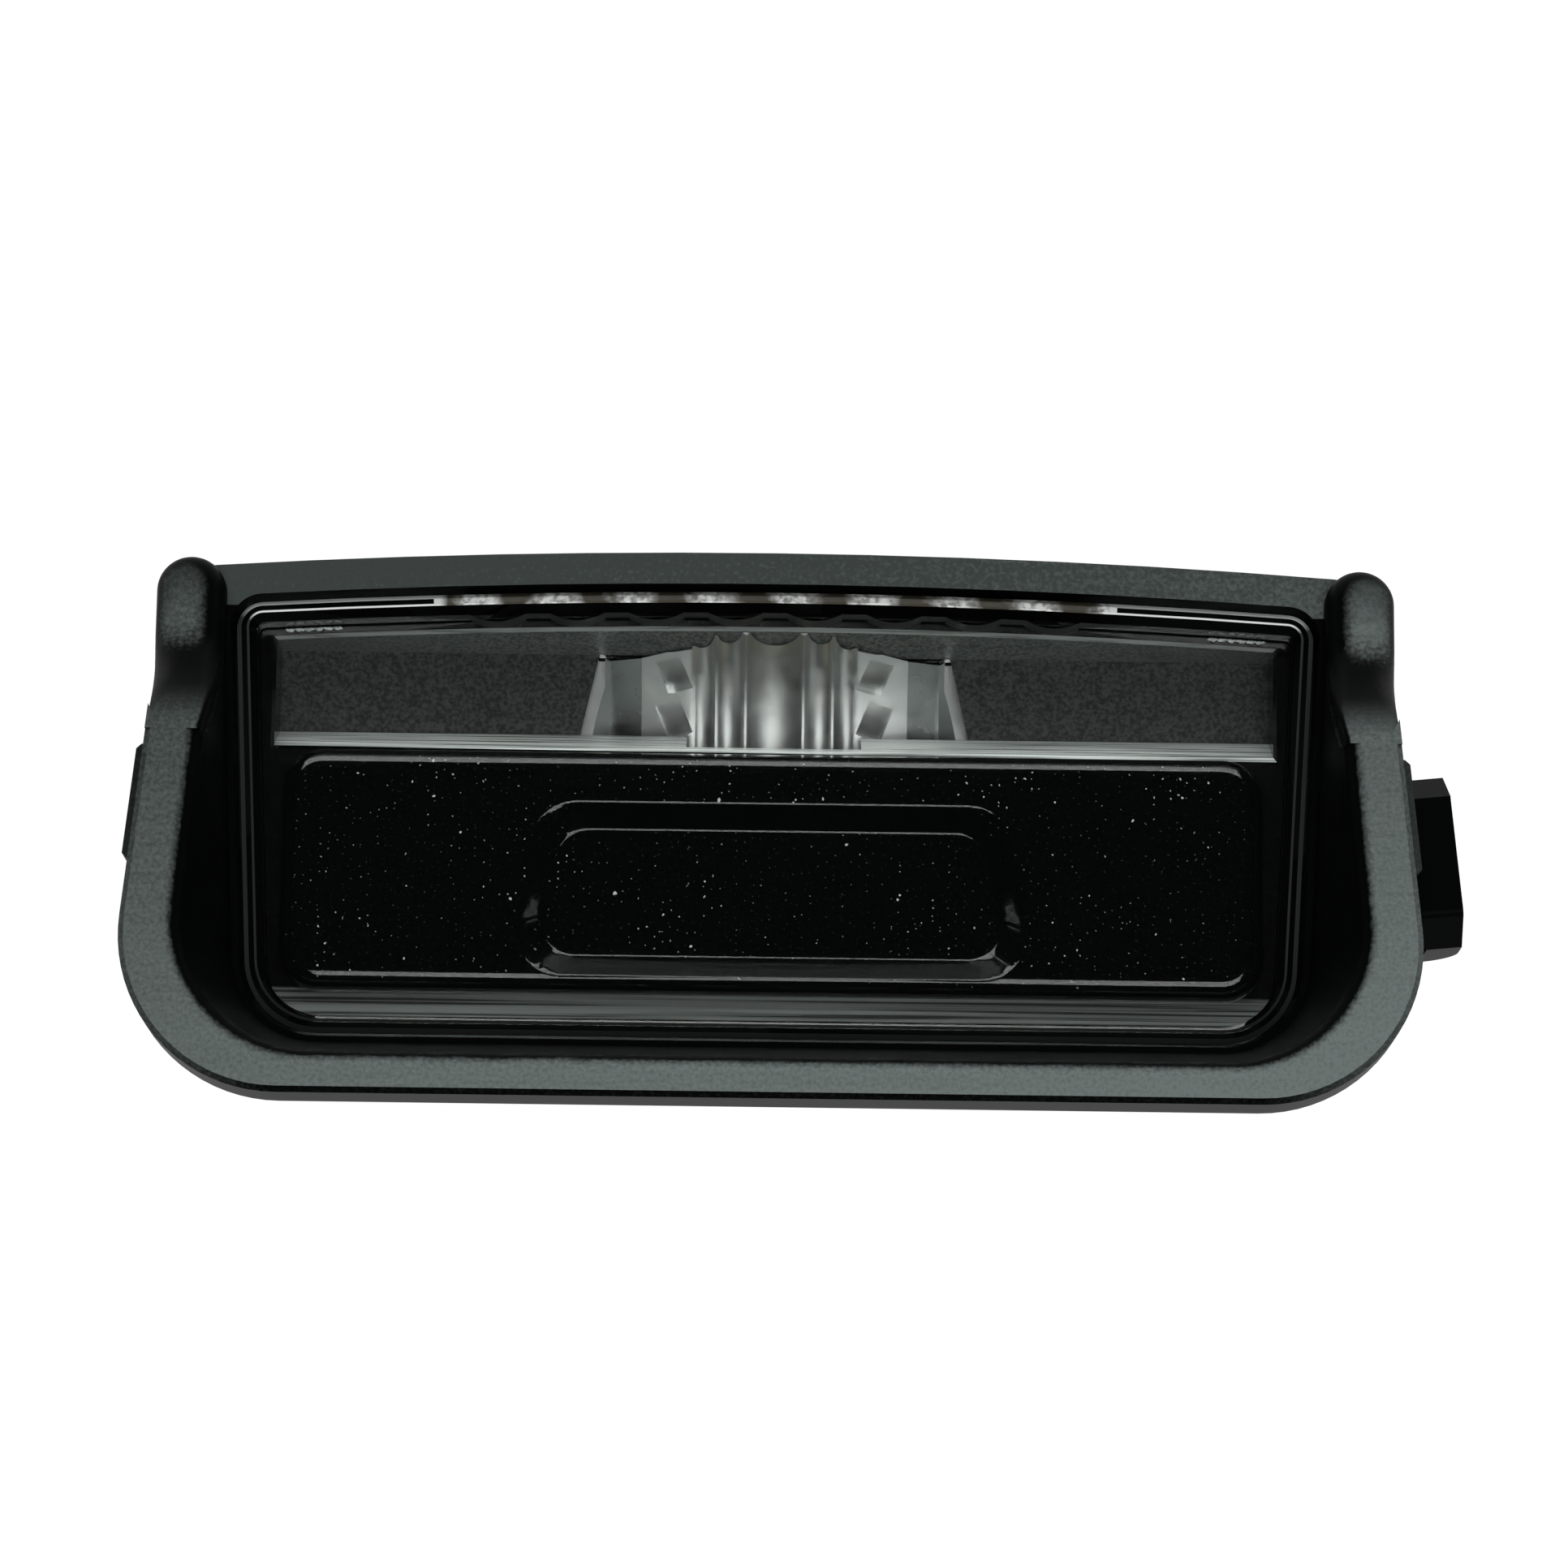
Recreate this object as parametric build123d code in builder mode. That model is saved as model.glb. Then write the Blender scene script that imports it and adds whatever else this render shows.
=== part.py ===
# Number plate lamp: a clip-in lamp with a recessed clear lens under a U-shaped lip.
# Millimetres. X runs along the lamp, +Y is the open side that lights the plate,
# +Z is the way the lens faces. Z = 0 is the front face of the side lugs, which
# stop against the back of the panel that the lamp is clipped into.
from build123d import *
import math
import os

os.makedirs("parts", exist_ok=True)

# Widths: the black box behind the lens sets the rest, each with its own margin
box_width = 72.3
box_side_margin = 1.95
lens_flare = 3.5
lip_overhang = 9.5
lip_taper = 5.24
window_side_margin = 0.85
board_side_margin = 3.15
screw_edge = 5.0
lens_bottom_width = box_width + 2 * box_side_margin
lens_top_width = lens_bottom_width + lens_flare
lip_width_bottom = lens_bottom_width + 2 * lip_overhang
lip_width_shoulder = lip_width_bottom - lip_taper
window_width = box_width + 2 * window_side_margin
board_width = box_width - 2 * board_side_margin
screw_spacing = board_width - 2 * screw_edge

# Lens outline: a trapezoid with an arched top edge, centred on the origin
lens_height = 33.4
lens_arch_rise = 1.35
lens_top_corner = 2.0
lens_bottom_corner = 5.5
smallest_corner = 0.3

# Lens section
lens_thickness = 2.0
lens_skirt_height = 3.6
lens_skirt_wall = 1.4
lens_border_width = 0.75
lens_border_step = 0.3
lens_border_chamfer = 0.2
lens_edge_chamfer = 0.35
pillow_count = 8
pillow_pitch = 5.9
pillow_radius = 4.0
pillow_rise = 0.55

# Lip and horns of the housing
lip_thickness = 4.5
lip_side_width = 4.0
lip_bottom_width = 2.85
lip_underhang = 6.15
lip_corner = 11.5
lip_inner_corner = 9.9
lip_edge_break = 0.4
lip_inner_round = 1.4
lens_recess = 11.0
slope_length = 9.1
crease_length = 1.8
crease_width = 1.1
horn_length = 5.95
horn_overrun = 0.25
horn_width = 5.1
horn_rise = 3.0
horn_foot = 2.2
horn_round = 2.3
horn_inset = 0.03

# Walls of the housing
band_rise = 0.4
band_width = 2.35
band_corner = 1.5
lens_gap = 0.4
hollow_gap = 0.85
ledge_width = 1.2
ledge_thickness = 1.8
body_wall = 1.8
shelf_width = 1.0
shelf_thickness = 1.6
gusset_thickness = 1.3
gusset_count = 5
gusset_spacing = 15.0
gusset_height = 9.0

# Side lugs and spring tongue
lug_length = 8.4
lug_middle = -1.1
lug_reach = 1.0
lug_thickness = 3.0
lug_chamfer = 0.35
tongue_length = 8.7
tongue_middle = -3.3
tongue_reach = 4.25
tongue_tip_z = -4.5
tongue_tip_depth = 3.0
tongue_tip_width = 4.1
tongue_taper = 2.0
tongue_thickness = 2.6
tongue_depth = 8.0
tongue_round = 0.7

# Inner bezel
bezel_gap = 0.25
bezel_drop = 0.5
box_gap = 0.3
box_top = 4.9
box_foot_margin = 3.55
box_corner = 3.0
box_round = 1.4
box_wall = 1.3
pocket_width_top = 34.6
pocket_width_bottom = 38.6
pocket_top = 0.95
pocket_foot_margin = 1.05
pocket_corner = 3.4
pocket_depth = 1.4
pocket_slope = 1.8
pocket_round = 0.35
window_bottom = 5.2
window_depth = 4.5
window_floor_draft = 2.1
window_chamfer = 0.25
window_top_margin = 2.2
window_top_draft = 1.0
plate_thickness = 1.5
slot_width = 13.0
slot_bridge = 1.2

# Reflector: a fluted trough turned about an axis along X, in front of it
reflector_gap = 0.15
flute_axis_y = 4.5
flute_axis_z = -7.0
flute_radius = 10.5
ridge_width = 0.44
ridge_side = 0.13
ridge_rise = 0.14
flute_steps = [(1.95, 0.0, 0.55), (4.15, 0.25, 0.3), (5.95, 0.6, 0.25)]
facet_zone = (8.7, 1.1)
white_zone = (10.0, 1.4)
trough_end = (12.4, 2.0)
trough_mouth = (14.5, -2.1)
trough_core = 2.0
trough_rim = 0.35
bay_gap = 0.4
reflector_wall = 1.6
cheek_width = 1.6
reflector_bottom = 4.3
facet_angles = (66.0, 48.0, 30.0)
facet_length = 2.7
facet_width = 2.0
facet_tilt = 24.0
facet_lean = 10.0
facet_depth = 0.35

# Circuit board and what stands on it
board_top = 3.3
board_foot_margin = 1.65
board_corner = 1.5
board_thickness = 1.6
board_gap = 0.6
led_length = 3.8
led_width = 1.2
led_height = 1.5
led_window_length = 3.0
led_window_height = 0.9
phosphor_thickness = 0.12
led_edge = 0.5
chip_length = 4.9
chip_width = 3.9
chip_height = 1.5
chip_lead_count = 4
chip_lead_length = 1.0
chip_lead_width = 0.42
chip_lead_pitch = 1.27
resistor_length = 3.2
resistor_width = 1.6
resistor_height = 0.6
capacitor_length = 2.0
capacitor_width = 1.25
capacitor_height = 1.1
diode_length = 4.3
diode_width = 2.6
diode_height = 2.1
chip_place = (14.0, -5.0)
resistor_places = [(6.0, -2.0), (6.0, -5.0), (6.0, -8.0)]
capacitor_places = [(-1.0, -4.5), (-1.0, -8.0)]
diode_edge = 11.5
reverse_diode_place = (diode_edge - board_width / 2, -1.0)
surge_diode_place = (diode_edge - board_width / 2, -7.5)
lead_thickness = 0.3
end_cap_length = 0.5
screw_y = -4.0
screw_radius = 0.85
screw_length = 6.6
screw_head_radius = 1.9
screw_head_height = 1.3
screw_slot_length = 2.5
screw_slot_width = 0.5
screw_slot_depth = 0.6
screw_hole_gap = 0.25

# Rear cover and connector
cover_thickness = 2.0
cover_rib_width = 1.2
cover_rib_height = 2.0
cover_gap = 0.15
cover_edge_chamfer = 0.5
post_radius = 2.6
pilot_depth = 6.0
socket_length = 13.0
socket_width = 7.0
socket_depth = 9.9
socket_wall = 1.5
socket_roof_gap = 0.3
socket_x = -12.0
socket_y = -5.5
socket_corner = 1.0
key_width = 1.6
key_depth = 0.8
terminal_pitch = 5.0
terminal_width = 1.5
terminal_thickness = 0.64
terminal_tip = 5.6
terminal_stub = 0.4
vent_x = 18.0
vent_y = -5.5
vent_hole_radius = 1.5
vent_patch_radius = 4.5
vent_patch_thickness = 0.25
vent_recess_depth = 0.35
vent_recess_gap = 0.25

# Heights that follow from the sizes above
lens_face = lip_thickness - lens_recess
band_face = lens_face + band_rise
lens_back = lens_face - lens_thickness
lens_foot = lens_face - lens_skirt_height
ledge_bottom = lens_foot - ledge_thickness
bezel_front = lens_foot - bezel_drop
box_face = lens_back - box_gap
plate_face = bezel_front - window_depth
bezel_back = plate_face - plate_thickness
board_front = bezel_back - board_gap
board_back = board_front - board_thickness
socket_roof = board_back - socket_roof_gap
socket_floor = socket_roof - socket_wall
rear_face = socket_floor - socket_depth
cover_front = rear_face + cover_thickness
horn_crown = band_face + horn_rise
horn_base = band_face - horn_foot

# Places along Y that follow from the sizes above
lip_drop = lens_height / 2 + lip_underhang
box_bottom = box_foot_margin - lens_height / 2
pocket_bottom = box_bottom + pocket_foot_margin
board_bottom = box_bottom + board_foot_margin
lens_top_end = lens_height / 2 - lens_arch_rise
band_reach = lens_gap + band_width
horn_tip = lens_top_end + band_reach + horn_overrun
horn_start = horn_tip - horn_length
shoulder = horn_start - slope_length
arch_radius = (lens_top_width**2 / 4 + lens_arch_rise**2) / (2 * lens_arch_rise)
arch_middle = lens_height / 2 - arch_radius
side_slope = (lens_top_width - lens_bottom_width) / 2 / (lens_top_end + lens_height / 2)
lip_slope = (lip_width_shoulder - lip_width_bottom) / 2 / (shoulder + lip_drop)

# Half widths of the sloping sides
def lens_side(y, grow):
    middle = lens_bottom_width / 2 + side_slope * lens_height / 2
    return middle + side_slope * y + grow * math.hypot(1, side_slope)


def lip_side(y):
    return lip_width_bottom / 2 + lip_slope * (y + lip_drop)


def hollow_side(y, z):
    low = lens_side(y, hollow_gap)
    high = lip_side(y) - lip_side_width
    return low + (high - low) * (z - band_face) / (lip_thickness - band_face)


# The lens outline as a face, each side moved outward by grow
def lens_outline(grow, top_corner=None):
    if top_corner is None:
        top_corner = max(lens_top_corner + grow, smallest_corner)
    bottom = -lens_height / 2 - grow
    reach = arch_radius + grow
    offset_x = lens_side(0, grow)
    a = 1 + side_slope**2
    b = side_slope * offset_x - arch_middle
    c = offset_x**2 + arch_middle**2 - reach**2
    top = (math.sqrt(b**2 - a * c) - b) / a
    low = (lens_side(bottom, grow), bottom)
    high = (lens_side(top, grow), top)
    crown = (0, arch_middle + reach)
    with BuildSketch() as outline:
        with BuildLine():
            Polyline((-high[0], top), (-low[0], bottom), low, high)
            ThreePointArc(high, crown, (-high[0], top))
        make_face()
        corners = outline.vertices().group_by(Axis.Y)
        fillet(corners[-1], top_corner)
        corners = outline.vertices().group_by(Axis.Y)
        fillet(corners[0], max(lens_bottom_corner + grow, smallest_corner))
    return outline.sketch


# A U-shaped outline, open far beyond the horns, from two half widths
def open_outline(bottom, half_bottom, half_top, top, corner):
    with BuildSketch() as outline:
        with BuildLine():
            Polyline(
                (-half_top, top),
                (-half_bottom, bottom),
                (half_bottom, bottom),
                (half_top, top),
                close=True,
            )
        make_face()
        fillet(outline.vertices().group_by(Axis.Y)[0], corner)
    return outline.sketch


# A rounded outline with parallel top and bottom edges
def trapezoid_outline(bottom, top, width_bottom, width_top, corner):
    with BuildSketch() as outline:
        with BuildLine():
            Polyline(
                (-width_top / 2, top),
                (-width_bottom / 2, bottom),
                (width_bottom / 2, bottom),
                (width_top / 2, top),
                close=True,
            )
        make_face()
        fillet(outline.vertices(), corner)
    return outline.sketch


# The window of the bezel: straight sides and a top edge that follows the lens arch
def window_outline(half_width, bottom, margin):
    reach = arch_radius - margin
    top = arch_middle + math.sqrt(reach**2 - half_width**2)
    with BuildSketch() as outline:
        with BuildLine():
            Polyline((-half_width, top), (-half_width, bottom), (half_width, bottom), (half_width, top))
            ThreePointArc((half_width, top), (0, arch_middle + reach), (-half_width, top))
        make_face()
    return outline.sketch


def level(z):
    return Plane.XY.offset(z)


def upright(y):
    return Plane(origin=(0, y, 0), x_dir=(1, 0, 0), z_dir=(0, -1, 0))


# Outline of the hollow in front of the lens at height z, grown and cut off at top
def hollow_outline(z, grow, top):
    t = (z - band_face) / (lip_thickness - band_face)
    low = -lens_height / 2 - hollow_gap
    high = -lip_drop + lip_bottom_width
    bottom = low + (high - low) * t - grow
    round_low = lens_bottom_corner + hollow_gap
    corner = round_low + (lip_inner_corner - round_low) * t + grow
    return open_outline(
        bottom,
        hollow_side(bottom, z) + grow,
        hollow_side(top, z) + grow,
        top,
        corner,
    )


touch = 0.01
far = horn_tip + band_width
lip_hollow = hollow_outline(lip_thickness, 0, far)
funnel_wall = band_reach - hollow_gap
funnel_top = lip_thickness / 2

# The hollow in front of the lens, inside the lip
with BuildPart() as hollow:
    with BuildSketch(level(band_face)):
        add(hollow_outline(band_face, 0, far))
    with BuildSketch(level(lip_thickness)):
        add(lip_hollow)
    loft(ruled=True)

# The U-shaped lip, flat in front, its outer edge just broken. A thin flat sliver of
# it runs on past each shoulder, beside the falling leg
with BuildPart() as lip:
    with BuildSketch():
        add(open_outline(-lip_drop, lip_side(-lip_drop), lip_side(shoulder), shoulder, lip_corner))
    extrude(amount=lip_thickness)
    front = lip.faces().sort_by(Axis.Z)[-1].edges().sort_by(Axis.Y)
    chamfer(front[:-1], lip_edge_break)
    add(hollow.part, mode=Mode.SUBTRACT)
    inner_wire = lip_hollow.wire().moved(Location((0, 0, lip_thickness)))
    front = lip.faces().sort_by(Axis.Z)[-1].edges()
    fillet([e for e in front if inner_wire.distance_to(e @ 0.5) < touch], lip_inner_round)
    with BuildSketch():
        with BuildLine():
            Polyline(
                (lip_side(shoulder) - crease_width, shoulder),
                (lip_side(shoulder), shoulder),
                (lip_side(shoulder + crease_length), shoulder + crease_length),
                close=True,
            )
        make_face()
        mirror(about=Plane.YZ)
    extrude(amount=lip_thickness)

# One leg's end: the lip falls in an S, runs on as a round horn and ends in a dome
horn_inner = hollow_side(horn_start, horn_crown) + horn_inset
horn_middle = horn_inner + horn_width / 2
dome_start = horn_tip - horn_width / 2
slope_stations = (0.0, 0.12, 0.26, 0.38, 0.5, 0.62, 0.74, 0.88, 1.0)
with BuildPart() as horn:
    for station in slope_stations:
        y = shoulder + slope_length * station
        blend = station * station * (3 - 2 * station)
        crown = lip_thickness + (horn_crown - lip_thickness) * blend
        base = (1 - blend) * (crown - lip_thickness) + blend * horn_base
        inner = hollow_side(y, crown) + horn_inset
        outer = (1 - blend) * (lip_side(y) - horn_inset) + blend * (horn_inner + horn_width)
        corner = lip_edge_break + blend * (horn_round - lip_edge_break)
        with BuildSketch(upright(y)) as section:
            with BuildLine():
                Polyline((inner, base), (outer, base), (outer, crown), (inner, crown), close=True)
            make_face()
            fillet(section.vertices().group_by(Axis.Z)[-1], corner)
    loft()
    with BuildSketch(upright(horn_start)):
        add(section.sketch_local)
    extrude(amount=horn_start - dome_start)
    with BuildSketch(upright(dome_start)):
        add(section.sketch_local)
        with Locations((horn_middle - horn_width / 2, (horn_crown + horn_base) / 2)):
            Rectangle(horn_width, 2 * horn_width, mode=Mode.SUBTRACT)
    revolve(axis=Axis((horn_middle, dome_start, 0), (0, 0, 1)), revolution_arc=180)

# The funnel wall behind the lip, cut down to follow the falling legs
with BuildPart() as funnel:
    with BuildSketch(level(band_face)):
        add(hollow_outline(band_face, funnel_wall, horn_start))
    with BuildSketch(level(funnel_top)):
        add(hollow_outline(funnel_top, funnel_wall, horn_start))
    loft(ruled=True)
    add(hollow.part, mode=Mode.SUBTRACT)
    with BuildSketch(Plane.YZ):
        with BuildLine():
            Polyline(
                (shoulder, funnel_top),
                (horn_start, (horn_crown + horn_base) / 2),
                (far, (horn_crown + horn_base) / 2),
                (far, lip_thickness),
                (shoulder, lip_thickness),
                close=True,
            )
        make_face()
    extrude(amount=lip_width_bottom / 2, both=True, mode=Mode.SUBTRACT)

# One stiffening rib between the lower wall and the back of the lip
shell_bottom = -lens_height / 2 - band_reach
with BuildPart() as gusset:
    with BuildSketch(Plane.YZ):
        with BuildLine():
            Polyline(
                (-lip_drop + lip_edge_break, 0),
                (shell_bottom, 0),
                (shell_bottom + band_width / 2, -gusset_height),
                (shell_bottom, -gusset_height),
                close=True,
            )
        make_face()
    extrude(amount=gusset_thickness / 2, both=True)

# One side lug, running along the sloping lip, its outer edges chamfered
lug_top = lug_middle + lug_length / 2
lug_low = lug_middle - lug_length / 2
with BuildPart() as lug:
    with BuildSketch():
        with BuildLine():
            Polyline(
                (hollow_side(lug_top, 0) + funnel_wall / 2, lug_top),
                (lip_side(lug_top) + lug_reach, lug_top),
                (lip_side(lug_low) + lug_reach, lug_low),
                (hollow_side(lug_low, 0) + funnel_wall / 2, lug_low),
                close=True,
            )
        make_face()
    extrude(amount=-lug_thickness)
    lug_ends = lug.edges().filter_by(Axis.Z).sort_by(Axis.X)[-2:]
    chamfer(lug_ends, lug_chamfer)
    lug_under = lug.edges().group_by(Axis.Z)[0].sort_by(Axis.X)[-1]
    chamfer(lug_under, lug_chamfer)

# Spring tongue: a J that stands off the body along the sloping +X side of the lip,
# narrowed at both ends towards its flat tip
lean = math.atan(-lip_slope)
outward = (math.cos(lean), math.sin(lean), 0)
along = (-math.sin(lean), math.cos(lean), 0)
against = (math.sin(lean), -math.cos(lean), 0)
tongue_place = (lip_side(tongue_middle), tongue_middle, 0)
tongue_root = tongue_tip_z - tongue_depth
tongue_wall = lens_side(tongue_middle, -ledge_width / 2) - lip_side(tongue_middle)
tongue_span = tongue_length / 2 + tongue_taper
with BuildPart() as tongue:
    with BuildSketch(Plane(origin=tongue_place, x_dir=outward, z_dir=against)):
        with BuildLine():
            Polyline(
                (tongue_reach - tongue_tip_width, tongue_tip_z),
                (tongue_reach, tongue_tip_z),
                (tongue_reach, tongue_root),
                (tongue_wall, tongue_root),
                (tongue_wall, tongue_root + tongue_thickness),
                (tongue_reach - tongue_thickness, tongue_root + tongue_thickness),
                (tongue_reach - tongue_thickness, tongue_tip_z - tongue_tip_depth),
                (tongue_reach - tongue_tip_width, tongue_tip_z - tongue_tip_depth / 2),
                close=True,
            )
        make_face()
    extrude(amount=tongue_span, both=True)
    bend = tongue.edges().group_by(Axis.Z)[0].sort_by(Axis.X)[-1]
    fillet(bend, tongue_thickness)
    with BuildSketch(Plane(origin=tongue_place, x_dir=along, z_dir=outward)):
        with BuildLine():
            Polyline(
                (-tongue_span, tongue_root),
                (tongue_span, tongue_root),
                (tongue_span, tongue_tip_z - tongue_tip_depth),
                (tongue_length / 2, tongue_tip_z),
                (-tongue_length / 2, tongue_tip_z),
                (-tongue_span, tongue_tip_z - tongue_tip_depth),
                close=True,
            )
        make_face()
    extrude(amount=tongue_reach - tongue_wall, both=True, mode=Mode.INTERSECT)
    tip_ends = tongue.faces().sort_by(Axis.Z)[-1].edges().sort_by(Axis.Y)
    fillet(tip_ends[0], tongue_round)

# Housing: one moulding, open in front for the lens and behind for the rear cover
with BuildPart() as housing:
    with BuildSketch(level(ledge_bottom)):
        add(lens_outline(band_reach, band_corner))
    extrude(amount=band_face - ledge_bottom)
    with BuildSketch(level(cover_front)):
        add(lens_outline(body_wall - ledge_width))
    extrude(amount=ledge_bottom - cover_front)
    add(funnel.part)
    add(lip.part)
    add(horn.part)
    add(horn.part.mirror(Plane.YZ))
    with GridLocations(gusset_spacing, 0, gusset_count, 1):
        add(gusset.part)
    add(lug.part)
    add(lug.part.mirror(Plane.YZ))
    add(tongue.part)
    with BuildSketch(level(lens_foot)):
        add(lens_outline(lens_gap))
    extrude(amount=band_face - lens_foot, mode=Mode.SUBTRACT)
    with BuildSketch(level(cover_front)):
        add(lens_outline(-ledge_width))
    extrude(amount=lens_foot - cover_front, mode=Mode.SUBTRACT)
    with BuildSketch(level(bezel_back - shelf_thickness)):
        add(lens_outline(-ledge_width))
        add(lens_outline(-ledge_width - shelf_width), mode=Mode.SUBTRACT)
    extrude(amount=shelf_thickness)
housing.part.label = "housing"
export_step(housing.part, "parts/housing.step")

# Lens: a clear cap with a skirt, a stepped border and a row of pillows that spread
# the light, on the inside of its top edge
lens_inside = lens_outline(-lens_skirt_wall)
with BuildPart() as lens:
    with BuildSketch(level(lens_foot)):
        add(lens_outline(0))
    extrude(amount=lens_skirt_height - lens_border_step)
    chamfer(lens.edges().group_by(Axis.Z)[-1], lens_edge_chamfer)
    with BuildSketch(level(lens_back)):
        add(lens_outline(-lens_border_width))
    extrude(amount=lens_thickness)
    chamfer(lens.edges().group_by(Axis.Z)[-1], lens_border_chamfer)
    with BuildSketch(level(lens_foot)):
        add(lens_inside)
    extrude(amount=lens_back - lens_foot, mode=Mode.SUBTRACT)
    with BuildSketch(level(bezel_front)):
        for place in range(pillow_count):
            x = (place - (pillow_count - 1) / 2) * pillow_pitch
            inside = arch_middle + math.sqrt((arch_radius - lens_skirt_wall)**2 - x**2)
            with Locations((x, inside - pillow_rise + pillow_radius)):
                Circle(pillow_radius)
        add(lens_inside, mode=Mode.INTERSECT)
    extrude(amount=lens_back - bezel_front)
lens.part.label = "lens"
export_step(lens.part, "parts/lens.step")

# The trough of the reflector: the space in front of the flutes, about the flute axis
flute_plane = Plane(
    origin=(0, flute_axis_y, flute_axis_z),
    x_dir=(1, 0, 0),
    z_dir=(0, 0, -1),
)
with BuildPart() as trough:
    with BuildSketch(flute_plane):
        with BuildLine():
            x, drop, bulge = flute_steps[0]
            ThreePointArc(
                (-x, flute_radius + drop),
                (0, flute_radius + bulge),
                (x, flute_radius + drop),
            )
            for side in (-1, 1):
                start, drop, bulge = flute_steps[0]
                for end, next_drop, next_bulge in flute_steps[1:]:
                    ridge = start + ridge_width
                    crest = flute_radius + drop - ridge_rise
                    Polyline(
                        (side * start, flute_radius + drop),
                        (side * (start + ridge_side), crest),
                        (side * (ridge - ridge_side), crest),
                        (side * ridge, flute_radius + drop),
                    )
                    ThreePointArc(
                        (side * ridge, flute_radius + drop),
                        (side * (ridge + end) / 2, flute_radius + (drop + next_drop) / 2 + next_bulge),
                        (side * end, flute_radius + next_drop),
                    )
                    start, drop = end, next_drop
                Polyline(
                    (side * start, flute_radius + drop),
                    (side * (start + ridge_width), flute_radius + drop),
                    (side * facet_zone[0], flute_radius + facet_zone[1]),
                    (side * white_zone[0], flute_radius + white_zone[1]),
                    (side * trough_end[0], flute_radius + trough_end[1]),
                    (side * trough_mouth[0], flute_radius + trough_mouth[1]),
                    (side * trough_mouth[0], trough_core),
                )
            Line((-trough_mouth[0], trough_core), (trough_mouth[0], trough_core))
        make_face()
    revolve(axis=Axis((0, flute_axis_y, flute_axis_z), (1, 0, 0)), revolution_arc=180)

window_back = window_bottom + window_floor_draft
window_margin = window_top_margin + window_top_draft
bay_half = trough_end[0] + trough_rim
plate_top = arch_middle + arch_radius - window_margin
with BuildPart() as bay:
    with BuildSketch(level(bezel_back)):
        with BuildLine():
            Polyline(
                (-trough_mouth[0], window_back),
                (trough_mouth[0], window_back),
                (bay_half + bay_gap, plate_top),
                (-bay_half - bay_gap, plate_top),
                close=True,
            )
        make_face()
    extrude(amount=plate_face - bezel_back)

# Inner bezel: gloss box with its recess, window with grained plates, hollow behind
with BuildPart() as inner_bezel:
    with BuildSketch(level(bezel_back)):
        add(lens_outline(-ledge_width - bezel_gap))
    extrude(amount=bezel_front - bezel_back)
    with BuildSketch(level(bezel_back)):
        add(trapezoid_outline(box_bottom, box_top, box_width, box_width, box_corner))
    extrude(amount=box_face - bezel_back)
    fillet(inner_bezel.edges().group_by(Axis.Z)[-1], box_round)
    with BuildSketch(level(box_face)):
        add(
            trapezoid_outline(
                pocket_bottom,
                pocket_top,
                pocket_width_bottom,
                pocket_width_top,
                pocket_corner,
            )
        )
    with BuildSketch(level(box_face - pocket_depth)):
        add(
            trapezoid_outline(
                pocket_bottom + pocket_slope,
                pocket_top - pocket_slope,
                pocket_width_bottom - 2 * pocket_slope,
                pocket_width_top - 2 * pocket_slope,
                pocket_corner - pocket_slope / 2,
            )
        )
    loft(ruled=True, mode=Mode.SUBTRACT)
    pocket_edges = [
        edge
        for edge in inner_bezel.edges()
        if box_face - pocket_depth - touch < edge.center().Z < box_face + touch
        and abs(edge.center().X) < pocket_width_bottom / 2 + touch
        and pocket_bottom - touch < edge.center().Y < pocket_top + touch
        and edge.bounding_box().size.Z < touch
    ]
    fillet(pocket_edges, pocket_round)
    with BuildSketch(level(plate_face)):
        with Locations((0, (window_back + plate_top) / 2)):
            Rectangle(window_width, plate_top - window_back)
    with BuildSketch(level(bezel_front)):
        add(window_outline(window_width / 2, window_bottom, window_top_margin))
    loft(ruled=True, mode=Mode.SUBTRACT)
    rim = window_outline(window_width / 2, window_bottom, window_top_margin).wire()
    rim = rim.moved(Location((0, 0, bezel_front)))
    chamfer([e for e in inner_bezel.edges() if rim.distance_to(e @ 0.5) < touch], window_chamfer)
    with BuildSketch(level(bezel_back)):
        add(
            trapezoid_outline(
                box_bottom + box_wall,
                box_top - box_wall,
                box_width - 2 * box_wall,
                box_width - 2 * box_wall,
                box_corner - box_wall / 2,
            )
        )
    extrude(amount=box_face - pocket_depth - box_wall - bezel_back, mode=Mode.SUBTRACT)
    slot_low = box_top - 2 * box_wall
    with BuildSketch(level(bezel_back)):
        with Locations((0, (slot_low + window_back) / 2)):
            Rectangle(slot_width, window_back - slot_low)
    extrude(amount=bezel_front - slot_bridge - bezel_back, mode=Mode.SUBTRACT)
    add(bay.part, mode=Mode.SUBTRACT)
inner_bezel.part.label = "inner_bezel"
export_step(inner_bezel.part, "parts/inner_bezel.step")

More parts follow.
